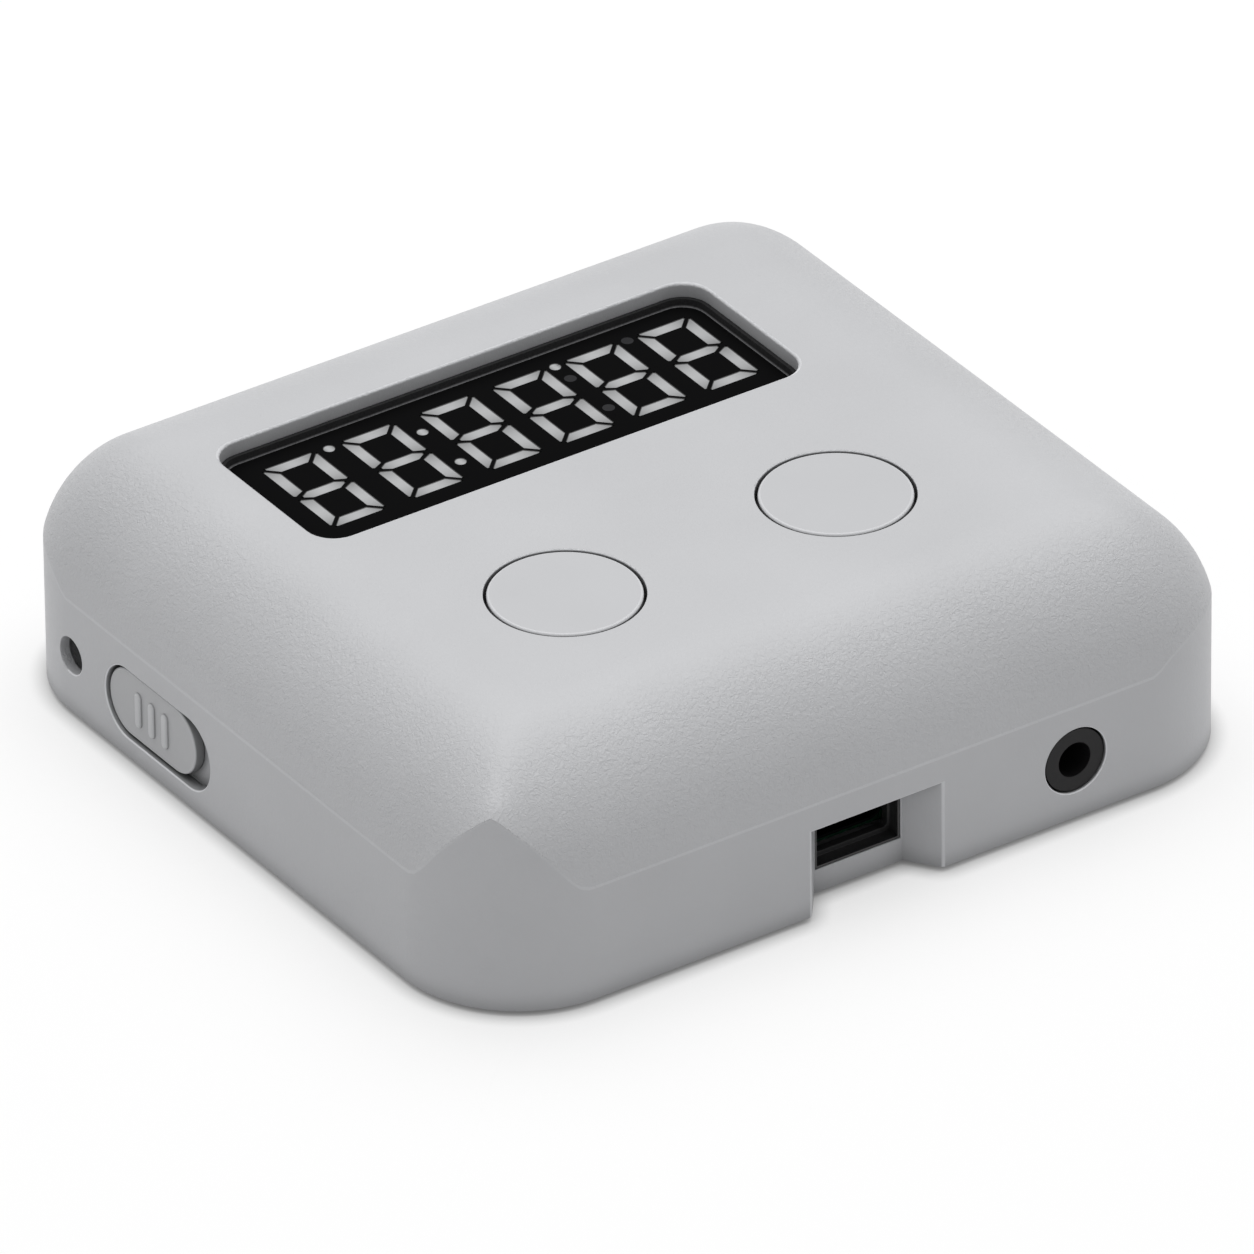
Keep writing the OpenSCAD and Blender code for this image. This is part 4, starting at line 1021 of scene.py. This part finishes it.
knob = wall_block("knob", knob_l, knob_w, half_round(knob_w), knob_back, knob_face, knob_y,
                  knob_edge, 20)
for k in (-1, 0, 1):
    rib = wall_block("rib", rib_w, rib_l, half_round(rib_w), knob_face + rib_root,
                     knob_face - rib_h, knob_y + k * rib_pitch, rib_h, 8)
    combine(knob, rib, "UNION")
post = wall_block("post", post_l, post_h, 0.1 * mm, hook_back, knob_face + rib_root, knob_y, steps=3)
combine(knob, post, "UNION")
hooks = wall_block("hooks", post_l, hook_h, 0.1 * mm, hook_back, hook_x, knob_y, steps=3)
combine(knob, hooks, "UNION")
lever_hole = wall_block("lever_hole", lever_hole_l, lever_hole_h, 0.05 * mm, hook_x + 2 * mm,
                        lever_tip, knob_y, steps=2)
cut(knob, lever_hole)
smooth(knob)
# painted highlights lighten the rib tops and the rounded edge of the knob's face
paint_highlight(knob, knob_highlight, lambda p: p.x < knob_face - rib_highlight_from
     or highlight_from < p.x - knob_face < knob_highlight_to)
finish(knob, moulded_plastic("knob_abs", (0.5, 0.505, 0.515), 0.4, 0.008 * mm, painted_highlight=0.11, crevice_shade=0.72),
       "slider_knob", "power_slider")

# --- Round socket ---------------------------------------------------------------
# A 3.5 mm socket moulded in black nylon, its nose in the front wall. A leaf of tinned
# bronze lies in the slot over its bore, and four tabs of it solder to the board.

dress("jack_body", moulded_plastic("black_nylon", (0.012, 0.0115, 0.0122), 0.42, 0.006 * mm,
                                   eased=0.1 * mm, specular=0.22))
dress("jack_contacts", metal("tinned_bronze", (0.62, 0.6, 0.54), 0.3, stretch=(1, 0.15, 1)))

# --- Charging port --------------------------------------------------------------
# A black frame behind the notch holds a steel socket, painted near black as shade for the
# port's dark inside, and a contact tongue of dark resin painted darker still as shade.
# Its contacts are gold-plated.

dress("port_frame", moulded_plastic("black_frame", (0.03, 0.03, 0.031), 0.38, 0.004 * mm,
                                    eased=0.14 * mm, specular=0.6))
# the socket's near-black steel and the tongue's near-black resin are painted shade for the port's dark
# inside
dress("port_shell", metal("near_black_steel_shade", (0.003, 0.003, 0.0033), 0.55, stretch=(1, 0.2, 1)))
dress("port_tongue", moulded_plastic("dark_resin_with_shade", (0.004, 0.004, 0.0043), 0.45, 0.003 * mm,
                                     specular=0.15))
gold = metal("gold_plate", (0.78, 0.52, 0.2), 0.22, stretch=(1, 0.3, 1), eased=0.01 * mm)
dress("port_contacts", gold)

# --- Slide switch ---------------------------------------------------------------
# A folded tin-plated box with a black lever that the knob drives. Three tinned
# terminals come out of its back.

tin_plate = metal("tin_plate", (0.6, 0.6, 0.59), 0.34, stretch=(0.2, 1, 1))
tinned = metal("tinned_terminals", (0.66, 0.65, 0.61), 0.28, stretch=(1, 1, 0.2))
dark_nylon = moulded_plastic("dark_nylon", (0.02, 0.02, 0.021), 0.45, 0.008 * mm, eased=0.08 * mm)
dress("slide_switch_case", tin_plate)
dress("slide_switch_lever", dark_nylon)
dress("slide_switch_terminals", tinned)

# --- Push switches --------------------------------------------------------------
# Two square switches under the caps: a black body, a punched tin plate on top,
# tinned terminals, and a round plunger that the cap's stem presses.

dress("tact_bodies", dark_nylon)
dress("tact_plates", tin_plate)
dress("tact_terminals", tinned)
dress("left_plunger", dark_nylon)
dress("right_plunger", dark_nylon)

# --- Boards ---------------------------------------------------------------------
# Two boards of glass-fibre laminate under dark green lacquer. Copper tracks show
# through it as paler stripes, and small plated vias are spread over it.


def laminate(name, lacquer, track, via_pitch):
    """Lacquered board: tracks in two directions, ring-shaped vias, and raised copper."""
    made, tree, out = empty_material(name)
    place = node(tree, "TexCoord").outputs["Object"]
    bend = node(tree, "TexNoise", {"Vector": place, "Scale": 90, "Detail": 0}).outputs["Fac"]
    patch = node(tree, "VectorMath", {0: place, 1: (4 * mm, 4 * mm, 4 * mm)}, operation="SNAP")
    chance = node(tree, "TexWhiteNoise", {"Vector": patch.outputs[0]}).outputs["Value"]
    across = node(tree, "TexWave", {"Vector": place, "Scale": 210}, bands_direction="X")
    down = node(tree, "TexWave", {"Vector": place, "Scale": 210}, bands_direction="Y")
    runs_down = reckon(tree, "GREATER_THAN", chance, 0.5)
    lines = node(tree, "Mix", {0: runs_down, 2: across.outputs["Fac"], 3: down.outputs["Fac"]})
    copper = reckon(tree, "MULTIPLY", ramp(tree, lines.outputs[0], 0.62, 0.7),
                    ramp(tree, bend, 0.46, 0.5))
    via = node(tree, "TexVoronoi", {"Vector": place, "Scale": 1 / via_pitch, "Randomness": 0.35})
    ring = reckon(tree, "LESS_THAN", via.outputs["Distance"], 0.13)
    # each via's black centre is painted shade standing in for its hole
    hole_shade = reckon(tree, "LESS_THAN", via.outputs["Distance"], 0.06)
    green = blended(tree, copper, (*lacquer, 1), (*track, 1))
    plated = blended(tree, ring, green, (0.6, 0.55, 0.42, 1))
    return surfaced(made, tree, out, {
        "Base Color": blended(tree, hole_shade, plated, (0.005, 0.005, 0.005, 1)),
        "Roughness": ramp(tree, copper, 0, 1, 0.38, 0.26),
        "Normal": bumped(tree, copper, 0.03 * mm)})


green_board = laminate("green_laminate", (0.008, 0.045, 0.022), (0.016, 0.085, 0.04), 6.5 * mm)
dress("main_board", green_board)
dress("display_board", green_board)

# --- Chips ----------------------------------------------------------------------
# Black moulded packages with a dull, finely pitted top. Their leads are bent
# from tinned copper.

worn_edge = 0.06 * mm


def chip_plastic(name, colour):
    """Filled epoxy or ceramic: sharp fine pits, pale filler specks and slightly worn edges."""
    made, tree, out = empty_material(name)
    pits = spots(tree, "TexNoise", 6500, Detail=5, Roughness=0.7).outputs["Fac"]
    specks = spots(tree, "TexVoronoi", 4200, Randomness=1).outputs["Distance"]
    fleck = ramp(tree, specks, 0.05, 0.14, 2.2, 1)
    return surfaced(made, tree, out, {
        "Base Color": scaled(tree, drifting(tree, colour, 0.1), fleck),
        "Roughness": ramp(tree, pits, 0.3, 0.7, 0.5, 0.7),
        "Normal": bumped(tree, pits, 0.012 * mm, worn_edge)})


epoxy = chip_plastic("black_epoxy", (0.02, 0.02, 0.022))
for name in ("microcontroller", "display_driver", "charge_chip"):
    dress(name, epoxy)
dress("chip_leads", tinned)

# --- Crystal, capacitors and resistors ------------------------------------------
# A drawn steel can, two electrolytic capacitors in dark sleeves with bare tops,
# small tan ceramic capacitors, and black chip resistors with tinned ends.


def banded(name, base, band, axis, low, high, bare_metal=False, roughness=0.4):
    """A body with a second finish between two heights or places along one axis."""
    made, tree, out = empty_material(name)
    place = node(tree, "TexCoord").outputs["Object"]
    part = node(tree, "SeparateXYZ", {"Vector": place}).outputs[axis]
    above = reckon(tree, "GREATER_THAN", part, low)
    under = reckon(tree, "LESS_THAN", part, high)
    inside = reckon(tree, "MULTIPLY", above, under)
    fine = spots(tree, "TexNoise", 3800, Detail=4).outputs["Fac"]
    return surfaced(made, tree, out, {
        "Base Color": blended(tree, inside, drifting(tree, base, 0.15), drifting(tree, band, 0.08)),
        "Metallic": inside if bare_metal else 0,
        "Roughness": ramp(tree, fine, 0.3, 0.7, roughness - 0.08, roughness + 0.08),
        "Normal": bumped(tree, fine, 0.008 * mm, worn_edge)})


aluminium = (0.62, 0.62, 0.63)
bare_tin = (0.62, 0.61, 0.58)
beyond = 1
dress("crystal", metal("drawn_steel_can", (0.6, 0.6, 0.6), 0.25, stretch=(1, 0.1, 1), eased=0.12 * mm))
can_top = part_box("capacitors")[1].z
dress("capacitors", banded("dark_sleeve", (0.02, 0.025, 0.06), aluminium, "Z", can_top - 0.1 * mm,
                           beyond, bare_metal=True))
dress("small_capacitors", chip_plastic("tan_ceramic", (0.32, 0.2, 0.1)))
row_low, row_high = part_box("resistors")
tin_l = 0.35 * mm
dress("resistors", banded("resistor_body", bare_tin, (0.012, 0.012, 0.013), "Y",
                          row_low.y + tin_l, row_high.y - tin_l))

# --- Header between the boards --------------------------------------------------
# A black socket on one board and a pin strip on the other, joined by square
# gold-plated pins. The display's own pins are tinned.

header_nylon = moulded_plastic("header_nylon", (0.014, 0.014, 0.015), 0.5, 0.01 * mm, eased=0.08 * mm)
dress("header_socket", header_nylon)
dress("header_strip", header_nylon)
dress("header_pins", gold)
dress("display_pins", tinned)

# --- Battery, plug and leads ----------------------------------------------------
# A flat lithium pouch in crinkled silver foil with amber tape over its end, a
# white nylon plug and socket, and one red and one black lead.


def crinkled_foil(name, tape_end):
    """Aluminium foil with long soft crinkles, and amber tape up to a place along X."""
    made, tree, out = empty_material(name)
    place = node(tree, "TexCoord").outputs["Object"]
    part = node(tree, "SeparateXYZ", {"Vector": place}).outputs["X"]
    tape = reckon(tree, "LESS_THAN", part, tape_end)
    folds = spots(tree, "TexNoise", 160, Detail=5, Roughness=0.62, Distortion=1.4).outputs["Fac"]
    silver = drifting(tree, (0.66, 0.66, 0.67), 0.06)
    amber = drifting(tree, (0.55, 0.26, 0.04), 0.1)
    return surfaced(made, tree, out, {
        "Base Color": blended(tree, tape, silver, amber), "Metallic": reckon(tree, "SUBTRACT", 1, tape),
        "Roughness": ramp(tree, folds, 0.3, 0.7, 0.22, 0.4),
        "Normal": bumped(tree, folds, 0.5 * mm, eased=0.6 * mm, strength=0.8, samples=6)})


tape_l = 3.5 * mm
dress("battery", crinkled_foil("silver_pouch_foil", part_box("battery")[0].x + tape_l))
white_nylon = moulded_plastic("white_nylon", (0.62, 0.6, 0.53), 0.35, 0.006 * mm, eased=0.08 * mm)
dress("battery_plug", white_nylon)
dress("battery_socket", white_nylon)
lead_low, lead_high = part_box("battery_leads")
dress("battery_leads", banded("lead_jacket", (0.012, 0.012, 0.012), (0.42, 0.02, 0.015), "Y",
                              (lead_low.y + lead_high.y) / 2, beyond, roughness=0.35))

# --- Buzzer ---------------------------------------------------------------------
# A black box of filled plastic that stands on the main board. Its opening faces the
# sound hole in the case.

dress("buzzer", moulded_plastic("buzzer_plastic", (0.016, 0.016, 0.017), 0.5, 0.012 * mm,
                                eased=0.15 * mm))
